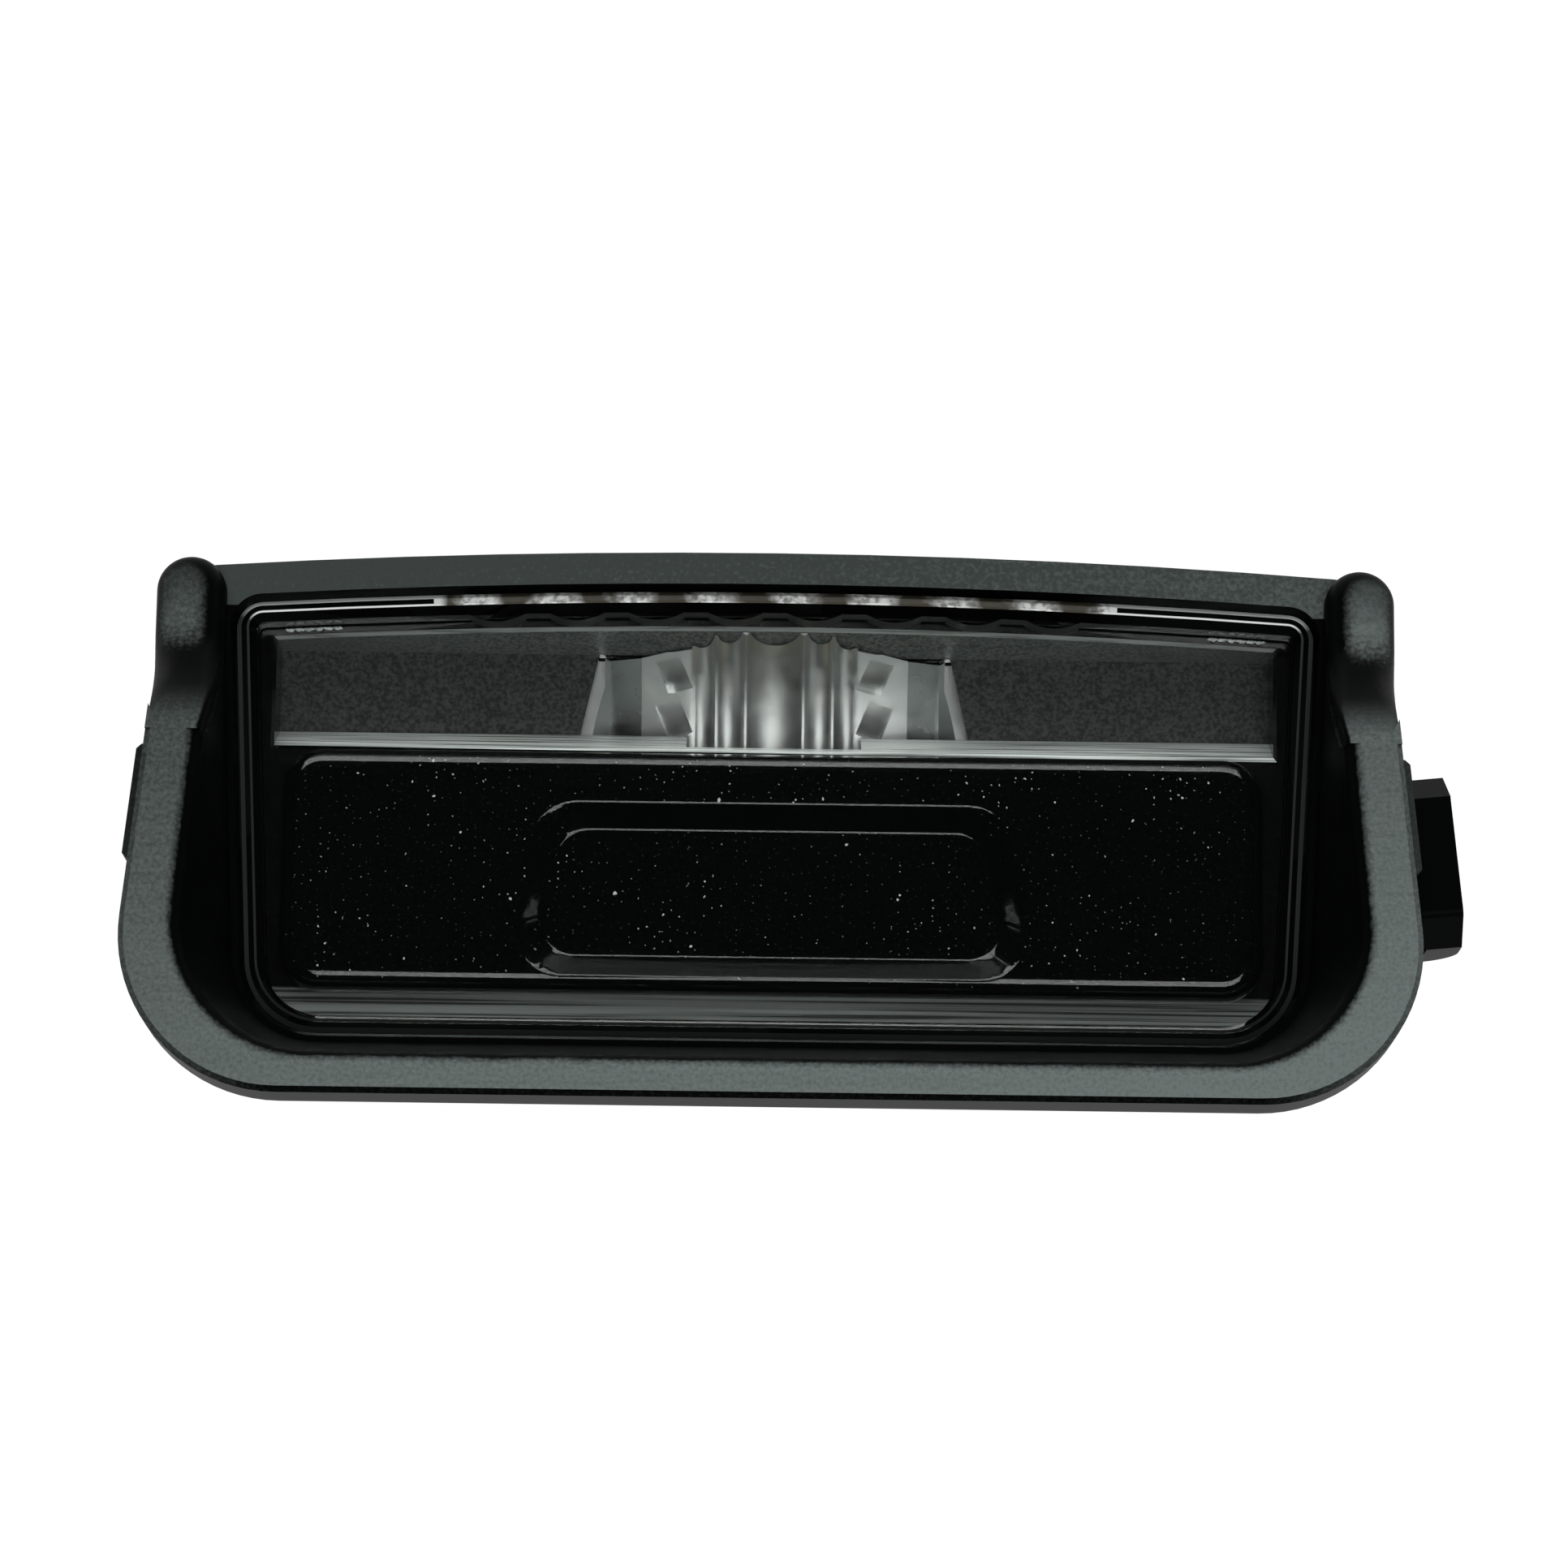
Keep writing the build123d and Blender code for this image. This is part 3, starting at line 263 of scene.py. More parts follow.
# The lens's broken edges and the step between them, where the tool halves met: frosted, and
# coloured pale as a painted highlight, so they show as thin pale lines, brightest along the edge
# that faces the open side and its lamp. A face that looks another way shows this share of that
# brightness.
def frosted_edge_highlight(name, share):
    material, tree, place = new_finish(name)
    facing = add(tree, "ShaderNodeSeparateXYZ",
                 {"Vector": add(tree, "ShaderNodeNewGeometry").outputs["Normal"]})
    open_side = add(tree, "ShaderNodeMapRange", {"Value": facing.outputs["Y"], "From Min": 0.3,
                                                 "From Max": 0.65, "To Min": share})
    # small nicks along the edge, 0.5 mm
    nick = add(tree, "ShaderNodeTexNoise", {"Vector": place, "Scale": per_mm(0.5), "Detail": 2.0})
    # behind its middle lie the pillows: a painted highlight, pale and dark amber in turn, stands
    # for the light seen through them, unevenly, because the moulding ripples over 2 mm
    apart = add(tree, "ShaderNodeSeparateXYZ", {"Vector": place})
    ripple = add(tree, "ShaderNodeTexNoise", {"Vector": place, "Scale": per_mm(2.0), "Detail": 3.0})
    wander = add(tree, "ShaderNodeMath",
                 {0: ripple.outputs["Fac"], 1: 3.0 * MM, 2: apart.outputs["X"]},
                 operation="MULTIPLY_ADD")
    phase = add(tree, "ShaderNodeMath", {0: wander.outputs["Value"], 1: PILLOW_PITCH / 2},
                operation="PINGPONG")
    pillow = add(tree, "ShaderNodeMapRange", {"Value": phase.outputs["Value"], "From Min": 0.9 * MM,
                                              "From Max": 2.1 * MM})
    frost = add(tree, "ShaderNodeMapRange", {"Value": nick.outputs["Fac"], "From Min": 0.38,
                                             "From Max": 0.6, "To Min": 0.3})
    pillow = add(tree, "ShaderNodeMath", {0: pillow.outputs["Result"], 1: frost.outputs["Result"]},
                 operation="MULTIPLY")
    off_middle = add(tree, "ShaderNodeMath", {0: apart.outputs["X"]}, operation="ABSOLUTE")
    plain = add(tree, "ShaderNodeMapRange", {"Value": off_middle.outputs["Value"],
                                             "From Min": PILLOW_REACH - 0.3 * MM,
                                             "From Max": PILLOW_REACH + 0.3 * MM})
    bright = add(tree, "ShaderNodeMath", {0: plain.outputs["Result"], 1: pillow.outputs["Value"]},
                 operation="MAXIMUM")
    row = add(tree, "ShaderNodeMix", {"Factor": bright.outputs["Value"], "A": linear("423e32"),
                                      "B": linear("f0f3f1")}, data_type="RGBA")
    colour = add(tree, "ShaderNodeMix",
                 {"Factor": open_side.outputs["Result"], "A": linear("3a3d3c"),
                  "B": row.outputs["Result"]}, data_type="RGBA")
    rough = add(tree, "ShaderNodeMapRange", {"Value": nick.outputs["Fac"], "To Min": 0.25,
                                             "To Max": 0.55})
    edge = add(tree, "ShaderNodeBsdfPrincipled",
               {"Base Color": colour.outputs["Result"], "Roughness": rough.outputs["Result"],
                "IOR": 1.585})
    add(tree, "ShaderNodeOutputMaterial", {"Surface": edge.outputs["BSDF"]})
    return material


def dust(tree, place, cell, largest, patches):
    """Share of dust at a place: one speck in each cell, its size in millimetres left to chance."""
    specks = add(tree, "ShaderNodeTexVoronoi", {"Vector": place, "Scale": per_mm(cell)},
                 voronoi_dimensions="2D")
    chance = add(tree, "ShaderNodeSeparateColor", {"Color": specks.outputs["Color"]})
    size = add(tree, "ShaderNodeMath", {0: chance.outputs["Red"], 1: 5.0}, operation="POWER")
    size = add(tree, "ShaderNodeMath", {0: size.outputs["Value"], 1: largest / 2 / cell},
               operation="MULTIPLY")
    size = add(tree, "ShaderNodeMath", {0: size.outputs["Value"], 1: patches}, operation="MULTIPLY")
    within = add(tree, "ShaderNodeMath", {0: size.outputs["Value"], 1: specks.outputs["Distance"]},
                 operation="SUBTRACT")
    soft = 0.03 / cell  # a speck's edge fades over 0.03 mm
    return add(tree, "ShaderNodeMapRange", {"Value": within.outputs["Value"], "From Min": -soft / 2,
                                            "From Max": soft / 2}).outputs["Result"]


# Polished black polycarbonate of the inner box, with the fine white dust that lies on it:
# a black mirror broken by several hundred pale specks.
def dusty_gloss_black():
    material, tree, place = new_finish("gloss_black_polycarbonate")
    # dust lies in patches, about 9 mm across
    patch = add(tree, "ShaderNodeTexNoise", {"Vector": place, "Scale": per_mm(9.0), "Detail": 2.0})
    patches = add(tree, "ShaderNodeMapRange", {"Value": patch.outputs["Fac"], "From Min": 0.44,
                                               "From Max": 0.64, "To Min": 0.45, "To Max": 1.0})
    # specks are ragged, not round, by up to 0.25 mm
    ragged = add(tree, "ShaderNodeTexNoise",
                 {"Vector": place, "Scale": per_mm(0.25), "Detail": 1.0})
    shift = add(tree, "ShaderNodeVectorMath", {0: ragged.outputs["Color"], 1: (0.25 * MM,) * 3},
                operation="MULTIPLY")
    shaken = add(tree, "ShaderNodeVectorMath", {0: place, 1: shift.outputs["Vector"]})
    fine = dust(tree, shaken.outputs["Vector"], 0.6, 0.13, patches.outputs["Result"])
    coarse = dust(tree, shaken.outputs["Vector"], 1.9, 0.3, patches.outputs["Result"])
    specks = add(tree, "ShaderNodeMath", {0: fine, 1: coarse}, operation="MAXIMUM")
    # it lies only on faces that look up
    facing = add(tree, "ShaderNodeSeparateXYZ",
                 {"Vector": add(tree, "ShaderNodeNewGeometry").outputs["Normal"]})
    up = add(tree, "ShaderNodeMapRange", {"Value": facing.outputs["Z"], "From Min": 0.8,
                                          "From Max": 0.95})
    lying = add(tree, "ShaderNodeMath", {0: specks.outputs["Value"], 1: up.outputs["Result"]},
                operation="MULTIPLY")
    colour = add(tree, "ShaderNodeMix", {"Factor": lying.outputs["Value"], "A": linear("010202"),
                                         "B": linear("9da19f")}, data_type="RGBA")
    rough = add(tree, "ShaderNodeMapRange", {"Value": lying.outputs["Value"], "To Min": 0.06,
                                             "To Max": 0.8})
    gloss = add(tree, "ShaderNodeBsdfPrincipled",
                {"Base Color": colour.outputs["Result"], "Roughness": rough.outputs["Result"],
                 "IOR": 1.585})
    add(tree, "ShaderNodeOutputMaterial", {"Surface": gloss.outputs["BSDF"]})
    return material


# Polycarbonate with a coarse etched grain, which scatters light and reads dark grey and granular:
# the plates of the window, black; its ceiling, in lighter tones as painted light; and the lens's
# pillows in front of black, opaque in dark tones as painted shade for the black behind them.
def etched_black(name, dark, light):
    material, tree, place = new_finish(name)
    # etched grain, 0.3 mm
    grain = add(tree, "ShaderNodeTexNoise",
                {"Vector": place, "Scale": per_mm(0.3), "Detail": 2.0, "Roughness": 0.6})
    share = add(tree, "ShaderNodeMapRange", {"Value": grain.outputs["Fac"], "From Min": 0.38,
                                             "From Max": 0.62})
    colour = add(tree, "ShaderNodeMix", {"Factor": share.outputs["Result"], "A": linear(dark),
                                         "B": linear(light)}, data_type="RGBA")
    rough = add(tree, "ShaderNodeMapRange", {"Value": grain.outputs["Fac"], "To Min": 0.4,
                                             "To Max": 0.6})
    bump = add(tree, "ShaderNodeBump", {"Strength": 0.5, "Distance": 0.04 * MM,
                                        "Height": grain.outputs["Fac"]})
    plate = add(tree, "ShaderNodeBsdfPrincipled",
                {"Base Color": colour.outputs["Result"], "Roughness": rough.outputs["Result"],
                 "IOR": 1.585, "Specular IOR Level": 0.3, "Normal": bump.outputs["Normal"]})
    add(tree, "ShaderNodeOutputMaterial", {"Surface": plate.outputs["BSDF"]})
    return material


# Faces of the bezel's black polycarbonate that were drawn along the tool or smeared by the lens's
# skirt: thin lines along the lamp, this many millimetres long, between a dark and a light tone,
# which on the window's floor is a painted reflection and on the arch's broken edge a painted
# highlight.
# They begin at this place along Y and go on towards the closed lip.
def streaked(name, dark, light, length, begin):
    material, tree, place = new_finish(name)
    apart = add(tree, "ShaderNodeSeparateXYZ", {"Vector": place})
    begun = add(tree, "ShaderNodeMapRange",
                {"Value": apart.outputs["Y"], "From Min": (begin + 0.4) * MM,
                 "From Max": begin * MM})
    # lines 0.25 mm apart
    drawn = add(tree, "ShaderNodeMapping",
                {"Vector": place, "Scale": (1 / length, 1 / 0.25, 1 / 0.25)})
    smear = add(tree, "ShaderNodeTexNoise",
                {"Vector": drawn.outputs["Vector"], "Scale": per_mm(1.0), "Detail": 2.0})
    share = add(tree, "ShaderNodeMapRange", {"Value": smear.outputs["Fac"], "From Min": 0.35,
                                             "From Max": 0.62, "To Min": 0.15})
    share = add(tree, "ShaderNodeMath", {0: share.outputs["Result"], 1: begun.outputs["Result"]},
                operation="MULTIPLY")
    colour = add(tree, "ShaderNodeMix", {"Factor": share.outputs["Value"], "A": linear(dark),
                                         "B": linear(light)}, data_type="RGBA")
    rough = add(tree, "ShaderNodeMapRange", {"Value": share.outputs["Value"], "To Min": 0.1,
                                             "To Max": 0.6})
    lined = add(tree, "ShaderNodeBsdfPrincipled",
                {"Base Color": colour.outputs["Result"], "Roughness": rough.outputs["Result"],
                 "IOR": 1.585})
    add(tree, "ShaderNodeOutputMaterial", {"Surface": lined.outputs["BSDF"]})
    return material


# Vacuum metallised polycarbonate: bright aluminium. The flutes and the ends were stippled in
# the tool and spread light; the panels between them, 10 to 12.4 mm out, mirror the dark hood.
def metallised_polycarbonate():
    material, tree, place = new_finish("metallised_polycarbonate")
    apart = add(tree, "ShaderNodeSeparateXYZ", {"Vector": place})
    off_middle = add(tree, "ShaderNodeMath", {0: apart.outputs["X"]}, operation="ABSOLUTE")
    polished = add(tree, "ShaderNodeMath",
                   {0: off_middle.outputs["Value"], 1: 11.2 * MM, 2: 1.2 * MM}, operation="COMPARE")
    # orange peel of the lacquer under the metal, 1.2 mm
    peel = add(tree, "ShaderNodeTexNoise", {"Vector": place, "Scale": per_mm(1.2), "Detail": 3.0})
    mean = add(tree, "ShaderNodeMapRange", {"Value": polished.outputs["Value"], "To Min": 0.36,
                                            "To Max": 0.25})
    vary = add(tree, "ShaderNodeMapRange", {"Value": peel.outputs["Fac"], "From Min": 0.3,
                                            "From Max": 0.7, "To Min": 0.85, "To Max": 1.15})
    rough = add(tree, "ShaderNodeMath", {0: mean.outputs["Result"], 1: vary.outputs["Result"]},
                operation="MULTIPLY")
    bump = add(tree, "ShaderNodeBump", {"Strength": 0.15, "Distance": 0.03 * MM,
                                        "Height": peel.outputs["Fac"]})
    colour = add(tree, "ShaderNodeMix", {"Factor": polished.outputs["Value"], "A": linear("e3e5e4"),
                                         "B": linear("b4b9b7")}, data_type="RGBA")
    metal = add(tree, "ShaderNodeBsdfPrincipled",
                {"Base Color": colour.outputs["Result"], "Metallic": 1.0,
                 "Roughness": rough.outputs["Value"], "Normal": bump.outputs["Normal"]})
    add(tree, "ShaderNodeOutputMaterial", {"Surface": metal.outputs["BSDF"]})
    return material


# Glass-filled black PBT of the rear cover: the fibres float up in the mould and leave a dull,
# faintly mottled dark grey.
def glass_filled_black():
    material, tree, place = new_finish("glass_filled_black_pbt")
    # bundles of fibre drawn along the flow, 0.5 mm by 3 mm
    flow = add(tree, "ShaderNodeMapping", {"Vector": place, "Scale": (1 / 3.0, 1 / 0.5, 1 / 0.5)})
    fibre = add(tree, "ShaderNodeTexNoise",
                {"Vector": flow.outputs["Vector"], "Scale": per_mm(1.0), "Detail": 3.0})
    share = add(tree, "ShaderNodeMapRange", {"Value": fibre.outputs["Fac"], "From Min": 0.3,
                                             "From Max": 0.7})
    colour = add(tree, "ShaderNodeMix", {"Factor": share.outputs["Result"], "A": linear("141515"),
                                         "B": linear("262827")}, data_type="RGBA")
    rough = add(tree, "ShaderNodeMapRange", {"Value": share.outputs["Result"], "To Min": 0.42,
                                             "To Max": 0.58})
    bump = add(tree, "ShaderNodeBump", {"Strength": 0.3, "Distance": 0.02 * MM,
                                        "Height": fibre.outputs["Fac"]})
    cover = add(tree, "ShaderNodeBsdfPrincipled",
                {"Base Color": colour.outputs["Result"], "Roughness": rough.outputs["Result"],
                 "Normal": bump.outputs["Normal"]})
    add(tree, "ShaderNodeOutputMaterial", {"Surface": cover.outputs["BSDF"]})
    return material


# Glass-epoxy board under green solder mask: the mask is glossy, lighter where copper runs
# under it, and the sawn edges show the tan laminate.
def solder_masked_board():
    material, tree, place = new_finish("green_solder_mask")
    # islands of copper, about 4 mm, with 0.3 mm gaps between them
    copper = add(tree, "ShaderNodeTexVoronoi", {"Vector": place, "Scale": per_mm(4.0),
                                                "Randomness": 0.6},
                 voronoi_dimensions="2D", feature="DISTANCE_TO_EDGE")
    gap = add(tree, "ShaderNodeMapRange", {"Value": copper.outputs["Distance"], "From Min": 0.03,
                                           "From Max": 0.05})
    mask = add(tree, "ShaderNodeMix", {"Factor": gap.outputs["Result"], "A": linear("123a22"),
                                       "B": linear("1f5d38")}, data_type="RGBA")
    facing = add(tree, "ShaderNodeSeparateXYZ",
                 {"Vector": add(tree, "ShaderNodeNewGeometry").outputs["Normal"]})
    flat = add(tree, "ShaderNodeMath", {0: facing.outputs["Z"]}, operation="ABSOLUTE")
    edge = add(tree, "ShaderNodeMath", {0: flat.outputs["Value"], 1: 0.5}, operation="LESS_THAN")
    colour = add(tree, "ShaderNodeMix", {"Factor": edge.outputs["Value"],
                                         "A": mask.outputs["Result"], "B": linear("a8945c")},
                 data_type="RGBA")
    rough = add(tree, "ShaderNodeMapRange", {"Value": edge.outputs["Value"], "To Min": 0.28,
                                             "To Max": 0.75})
    bump = add(tree, "ShaderNodeBump", {"Strength": 0.4, "Distance": 0.035 * MM,
                                        "Height": gap.outputs["Result"]})
    board = add(tree, "ShaderNodeBsdfPrincipled",
                {"Base Color": colour.outputs["Result"], "Roughness": rough.outputs["Result"],
                 "Normal": bump.outputs["Normal"]})
    add(tree, "ShaderNodeOutputMaterial", {"Surface": board.outputs["BSDF"]})
    return material


# A soldered component: a moulded or fired body, matt and dark, between dull tinned ends of this
# many millimetres
def tinned_component(node, name, code, axis, end):
    low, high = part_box(node)
    middle = (low[axis] + high[axis]) / 2
    bare = (high[axis] - low[axis]) / 2 - end * MM
    material, tree, place = new_finish(name)
    along = add(tree, "ShaderNodeSeparateXYZ", {"Vector": place}).outputs[axis]
    away = add(tree, "ShaderNodeMath", {0: along, 1: middle}, operation="SUBTRACT")
    away = add(tree, "ShaderNodeMath", {0: away.outputs["Value"]}, operation="ABSOLUTE")
    tinned = add(tree, "ShaderNodeMath", {0: away.outputs["Value"], 1: bare},
                 operation="GREATER_THAN").outputs["Value"]
    # matt skin of the body and of the plating, 0.15 mm
    skin = add(tree, "ShaderNodeTexNoise", {"Vector": place, "Scale": per_mm(0.15), "Detail": 2.0})
    body = add(tree, "ShaderNodeMix", {"Factor": skin.outputs["Fac"], "A": linear("0a0a0a"),
                                       "B": linear(code)}, data_type="RGBA")
    colour = add(tree, "ShaderNodeMix", {"Factor": tinned, "A": body.outputs["Result"],
                                         "B": linear("c9c8c2")}, data_type="RGBA")
    rough = add(tree, "ShaderNodeMapRange", {"Value": skin.outputs["Fac"], "To Min": 0.3,
                                             "To Max": 0.55})
    part = add(tree, "ShaderNodeBsdfPrincipled",
               {"Base Color": colour.outputs["Result"], "Metallic": tinned,
                "Roughness": rough.outputs["Result"]})
    add(tree, "ShaderNodeOutputMaterial", {"Surface": part.outputs["BSDF"]})
    return material


# Plated metal, barrel finished: many small knocks vary its shine
def barrel_plated(name, dark, light):
    material, tree, place = new_finish(name)
    # knocks from the barrel, 0.4 mm
    knock = add(tree, "ShaderNodeTexNoise", {"Vector": place, "Scale": per_mm(0.4), "Detail": 3.0})
    colour = add(tree, "ShaderNodeMix", {"Factor": knock.outputs["Fac"], "A": linear(dark),
                                         "B": linear(light)}, data_type="RGBA")
    rough = add(tree, "ShaderNodeMapRange", {"Value": knock.outputs["Fac"], "To Min": 0.2,
                                             "To Max": 0.5})
    bump = add(tree, "ShaderNodeBump", {"Strength": 0.3, "Distance": 0.02 * MM,
                                        "Height": knock.outputs["Fac"]})
    metal = add(tree, "ShaderNodeBsdfPrincipled",
                {"Base Color": colour.outputs["Result"], "Metallic": 1.0,
                 "Roughness": rough.outputs["Result"], "Normal": bump.outputs["Normal"]})
    add(tree, "ShaderNodeOutputMaterial", {"Surface": metal.outputs["BSDF"]})
    return material


# A pale filled plastic, resin or membrane, moulded, poured or stretched: matt, with a fine mottle
# of this size and depth in millimetres
def pale_filled(name, dark, light, size, rough, depth):
    material, tree, place = new_finish(name)
    mottle = add(tree, "ShaderNodeTexNoise",
                 {"Vector": place, "Scale": per_mm(size), "Detail": 3.0})
    share = add(tree, "ShaderNodeMapRange", {"Value": mottle.outputs["Fac"], "From Min": 0.35,
                                             "From Max": 0.65})
    colour = add(tree, "ShaderNodeMix", {"Factor": share.outputs["Result"], "A": linear(dark),
                                         "B": linear(light)}, data_type="RGBA")
    bump = add(tree, "ShaderNodeBump", {"Strength": 0.4, "Distance": depth * MM,
                                        "Height": mottle.outputs["Fac"]})
    pale = add(tree, "ShaderNodeBsdfPrincipled",
               {"Base Color": colour.outputs["Result"], "Roughness": rough,
                "Normal": bump.outputs["Normal"]})
    add(tree, "ShaderNodeOutputMaterial", {"Surface": pale.outputs["BSDF"]})
    return material


def dressed(node, finishes, crease=28.0):
    """A copy of a solid's mesh that stands for it: doubles merged, smooth between creases."""
    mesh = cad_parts[node].data.copy()
    mesh.materials.clear()
    for name in [a.name for a in mesh.attributes if a.name in ("custom_normal", "sharp_face")]:
        mesh.attributes.remove(mesh.attributes[name])
    work = bmesh.new()
    work.from_mesh(mesh)
    bmesh.ops.remove_doubles(work, verts=work.verts, dist=0.0005 * MM)
    for face in work.faces:
        face.smooth = True
    for edge in work.edges:
        edge.smooth = len(edge.link_faces) == 2 and edge.calc_face_angle() < math.radians(crease)
    work.to_mesh(mesh)
    work.free()
    for finish in finishes:
        mesh.materials.append(finish)
    piece = bpy.data.objects.new(node + "_dressed", mesh)
    bpy.context.scene.collection.objects.link(piece)
    even = piece.modifiers.new("even_normals", "WEIGHTED_NORMAL")
    even.keep_sharp = True
    even.weight = 100
    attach(piece, "root")
    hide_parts(node)
    return piece


dressed("housing", [grained_black_blend()])

lens = dressed("lens",
               [clear_polycarbonate(), frosted_edge_highlight("frosted_polycarbonate_edge_highlight", 0.0),
                frosted_edge_highlight("frosted_polycarbonate_step_highlight", 0.8),
                etched_black("etched_polycarbonate_pillow_painted_dark", "0c0d0d", "1e2020")])
BROKEN_EDGE, STEP, PILLOW = 1, 2, 3
for face in lens.data.polygons:
    # the broken edges of the front lean; all other faces lie flat or stand
    if face.center.z > LENS_FACE - 0.8 * MM and 0.5 < face.normal.z < 0.9:
        face.material_index = BROKEN_EDGE
    # the step is frosted, with the painted highlight, in front of the pillows
    elif (abs(face.center.z - LENS_STEP) < 0.05 * MM and face.normal.z > 0.9
          and face.center.y > 14.0 * MM and abs(face.center.x) < PILLOW_REACH):
        face.material_index = STEP
    # the pillows and the skirt between them were left as the tool was eroded; they are opaque dark
    # grey, painted shade for the black behind them
    elif (face.center.z < LENS_FACE - 2.2 * MM and 14.2 * MM < face.center.y < 15.4 * MM
          and abs(face.center.x) < PILLOW_REACH and face.normal.y < 0.5):
        face.material_index = PILLOW

inner_bezel = dressed("inner_bezel",
                      [dusty_gloss_black(),
                       etched_black("etched_polycarbonate_plate", "040505", "303433"),
                       etched_black("etched_polycarbonate_ceiling_painted_light", "2a2d2c", "5c605e"),
                       streaked("polycarbonate_floor_painted_reflection", "4a4e4c", "d4d8d6", 14.0, 20.0),
                       streaked("polycarbonate_arch_edge_painted_highlight", "505452", "6c706e", 8.0, 20.0),
                       streaked("smeared_polycarbonate_front", "030404", "636866", 30.0, -13.2)])
GLOSS, PLATE, CEILING, FLOOR, EDGE, FRONT = range(6)
for face in inner_bezel.data.polygons:
    inside_window = PLATE_FACE - 0.1 * MM < face.center.z < BEZEL_FRONT - 0.1 * MM
    in_front = abs(face.center.z - BEZEL_FRONT) < 0.05 * MM
    below_front = -0.2 * MM < face.center.z - BEZEL_FRONT < -0.05 * MM
    # the broken edge of the window's arch, with a painted highlight
    if below_front and face.normal.y < -0.3 and face.normal.z > 0.5:
        face.material_index = EDGE
    elif inside_window and face.normal.z > 0.9:
        face.material_index = PLATE
    # the ceiling takes lighter tones of the same etched polycarbonate, as painted light
    elif inside_window and face.normal.y < -0.3:
        face.material_index = CEILING
    # the window's floor, light grey with streaks as a painted reflection
    elif inside_window and face.normal.y > 0.5 and face.center.y < 7.6 * MM:
        face.material_index = FLOOR
    elif in_front and face.normal.z > 0.9:
        face.material_index = FRONT
    else:
        face.material_index = GLOSS

dressed("reflector", [metallised_polycarbonate()])


# Beads of plastic squeezed out of the weld under the lens's top corners: a row at each side,
# between the inside of the skirt and the bezel, each drawn out along the seam into the next
def weld_flash():
    work = bmesh.new()
    # the skirt's inside, in millimetres: its top at the middle, and its fall at this half width
    top, fall, half_width = 15.3, 1.0, 34.0
    for count in range(16):
        radius = 0.13 + 0.05 * math.sin(2.3 * count)
        x = 36.2 - 0.26 * count
        y = top - fall * (x / half_width)**2 - radius - 0.05
        for side in (-1, 1):
            place = Matrix.Translation((side * x * MM, y * MM, BEZEL_FRONT + (radius + 0.01) * MM))
            lean = Matrix.Rotation(side * math.radians(20.0) * math.cos(1.7 * count), 4, "Z")
            drawn_out = Matrix.Diagonal((1.5, 0.85, 1.0, 1.0))
            bmesh.ops.create_icosphere(work, subdivisions=2, radius=radius * MM,
                                       matrix=place @ lean @ drawn_out)
    for face in work.faces:
        face.smooth = True
    mesh = bpy.data.meshes.new("weld_flash")
    work.to_mesh(mesh)
    work.free()
    mesh.materials.append(pale_filled("squeezed_polycarbonate", "8a8e8c", "c8ccca", 0.2, 0.3, 0.01))
    piece = bpy.data.objects.new("weld_flash", mesh)
    bpy.context.scene.collection.objects.link(piece)
    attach(piece, "root")


weld_flash()
dressed("rear_cover", [glass_filled_black()])

inside = {
    "circuit_board": solder_masked_board(),
    "board_screws": barrel_plated("zinc_plated_steel", "8f9698", "c4c8c6"),
    "led_body": pale_filled("white_led_polyamide", "d8d9d4", "efefea", 0.4, 0.45, 0.01),
    "led_phosphor": pale_filled("phosphor_in_silicone", "d8b93a", "efdc72", 0.12, 0.35, 0.01),
    "regulator_chip": tinned_component("regulator_chip", "chip_epoxy", "2c2c2b", 1, 1.0),
    "chip_resistors": tinned_component("chip_resistors", "resistor_glaze", "2a2d2c", 0, 0.45),
    "chip_capacitors": tinned_component("chip_capacitors", "capacitor_ceramic", "b39a72", 0, 0.4),
    "reverse_diode": tinned_component("reverse_diode", "reverse_diode_epoxy", "2e2e2d", 0, 0.5),
    "surge_diode": tinned_component("surge_diode", "surge_diode_epoxy", "2e2e2d", 0, 0.5),
    "terminal_positive": barrel_plated("tinned_brass_positive", "a9a59a", "d2cfc6"),
    "terminal_negative": barrel_plated("tinned_brass_negative", "a9a59a", "d2cfc6"),
    "vent_patch": pale_filled("expanded_ptfe_membrane", "c9ccca", "e6e8e6", 0.5, 0.8, 0.03),
}
for node, material in inside.items():
    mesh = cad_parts[node].data
    mesh.materials.clear()
    mesh.materials.append(material)


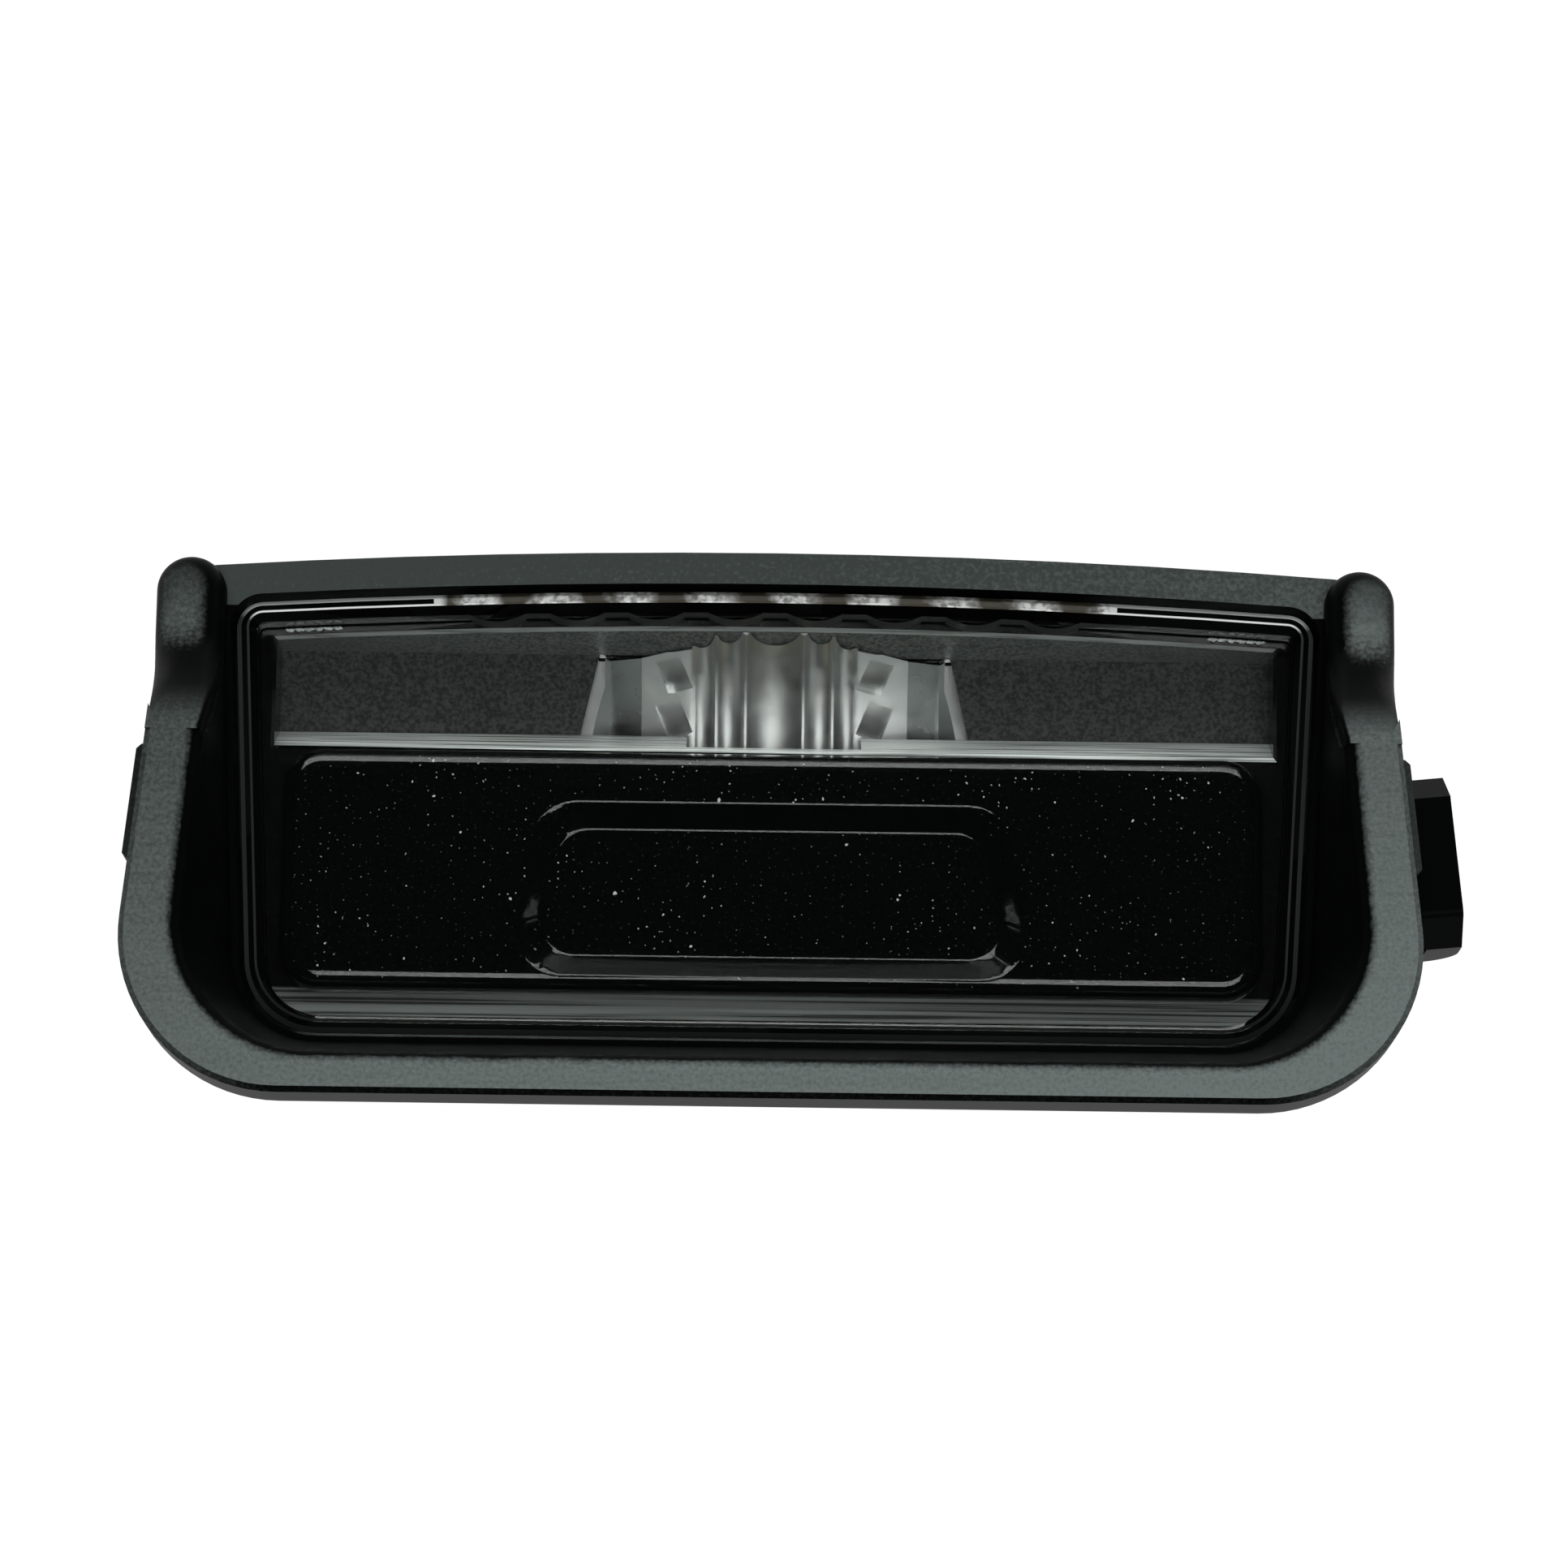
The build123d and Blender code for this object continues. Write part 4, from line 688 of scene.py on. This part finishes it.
# Floor under the lamp's back, turned up into a low wall far out
def floor_and_backdrop():
    work = bmesh.new()
    bmesh.ops.create_circle(work, cap_ends=True, segments=96, radius=3.0)
    edges = [e for e in work.edges if e.is_boundary]
    wall = bmesh.ops.extrude_edge_only(work, edges=edges)["geom"]
    raised = [v for v in wall if isinstance(v, bmesh.types.BMVert)]
    bmesh.ops.translate(work, verts=raised, vec=(0, 0, 0.9))
    bmesh.ops.translate(work, verts=work.verts, vec=(0, 0, REAR_FACE))
    mesh = bpy.data.meshes.new("floor")
    work.to_mesh(mesh)
    work.free()
    floor = bpy.data.objects.new("floor", mesh)
    bpy.context.scene.collection.objects.link(floor)
    material, tree, place = new_finish("white_paper")
    path = add(tree, "ShaderNodeLightPath")
    seen = path.outputs["Is Camera Ray"]
    for ray in ("Is Transmission Ray", "Is Glossy Ray"):
        seen = add(tree, "ShaderNodeMath", {0: seen, 1: path.outputs[ray]},
                   operation="MAXIMUM").outputs["Value"]
    white = add(tree, "ShaderNodeMath", {0: seen, 1: 0.93}, operation="MULTIPLY")
    paper = add(tree, "ShaderNodeBsdfPrincipled",
                {"Base Color": linear("747474"), "Roughness": 0.9, "Specular IOR Level": 0.0,
                 "Emission Color": linear("ffffff"), "Emission Strength": white.outputs["Value"]})
    add(tree, "ShaderNodeOutputMaterial", {"Surface": paper.outputs["BSDF"]})
    mesh.materials.append(material)


# A soft box: where it hangs, its size and its power in watts
def soft_box(name, place, width, height, power):
    light = bpy.data.lights.new(name, "AREA")
    light.shape = "RECTANGLE"
    light.size = width
    light.size_y = height
    light.energy = power
    lamp = bpy.data.objects.new(name, light)
    lamp.location = place
    lamp.rotation_euler = Vector(place).to_track_quat("Z", "Y").to_euler()
    bpy.context.scene.collection.objects.link(lamp)


# Camera: 12 degrees off the lens's axis towards the closed side, 420 mm away, and turned
# a little about its own axis. The point aim of the lamp, in millimetres, shows at aim_pixel.
def photo_camera():
    tilt, roll, distance = math.radians(12.0), math.radians(0.75), 420.0
    aim, aim_pixel, pixels, focal = Vector((0, -0.45, -7.1)), (952, 1010), 1932, 7056
    back = Vector((0, -math.sin(tilt), math.cos(tilt)))
    right = Vector((1, 0, 0))
    up = back.cross(right)
    across = right * math.cos(roll) + up * math.sin(roll)
    upward = up * math.cos(roll) - right * math.sin(roll)
    dx = (aim_pixel[0] - pixels / 2) / focal
    dy = -(aim_pixel[1] - pixels / 2) / focal
    eye = aim - distance * (-back + dx * across + dy * upward)
    data = bpy.data.cameras.new("camera")
    data.sensor_width = 36.0
    data.lens = focal / pixels * data.sensor_width
    data.clip_start = 0.01
    camera = bpy.data.objects.new("camera", data)
    turn = Matrix((across, upward, back)).transposed().to_4x4()
    camera.matrix_world = Matrix.Translation(eye * MM) @ turn
    bpy.context.scene.collection.objects.link(camera)
    bpy.context.scene.camera = camera


floor_and_backdrop()
soft_box("open_side", (-0.05, 0.71, 0.55), 1.0, 0.55, 6.6)
soft_box("camera_side", (0.12, -0.36, 0.78), 0.6, 0.6, 4.0)
photo_camera()

world = bpy.data.worlds.new("dim_studio")
world.use_nodes = True
world.node_tree.nodes["Background"].inputs["Color"].default_value = linear("ffffff")
world.node_tree.nodes["Background"].inputs["Strength"].default_value = 0.008
bpy.context.scene.world = world
bpy.context.scene.view_settings.view_transform = "Standard"
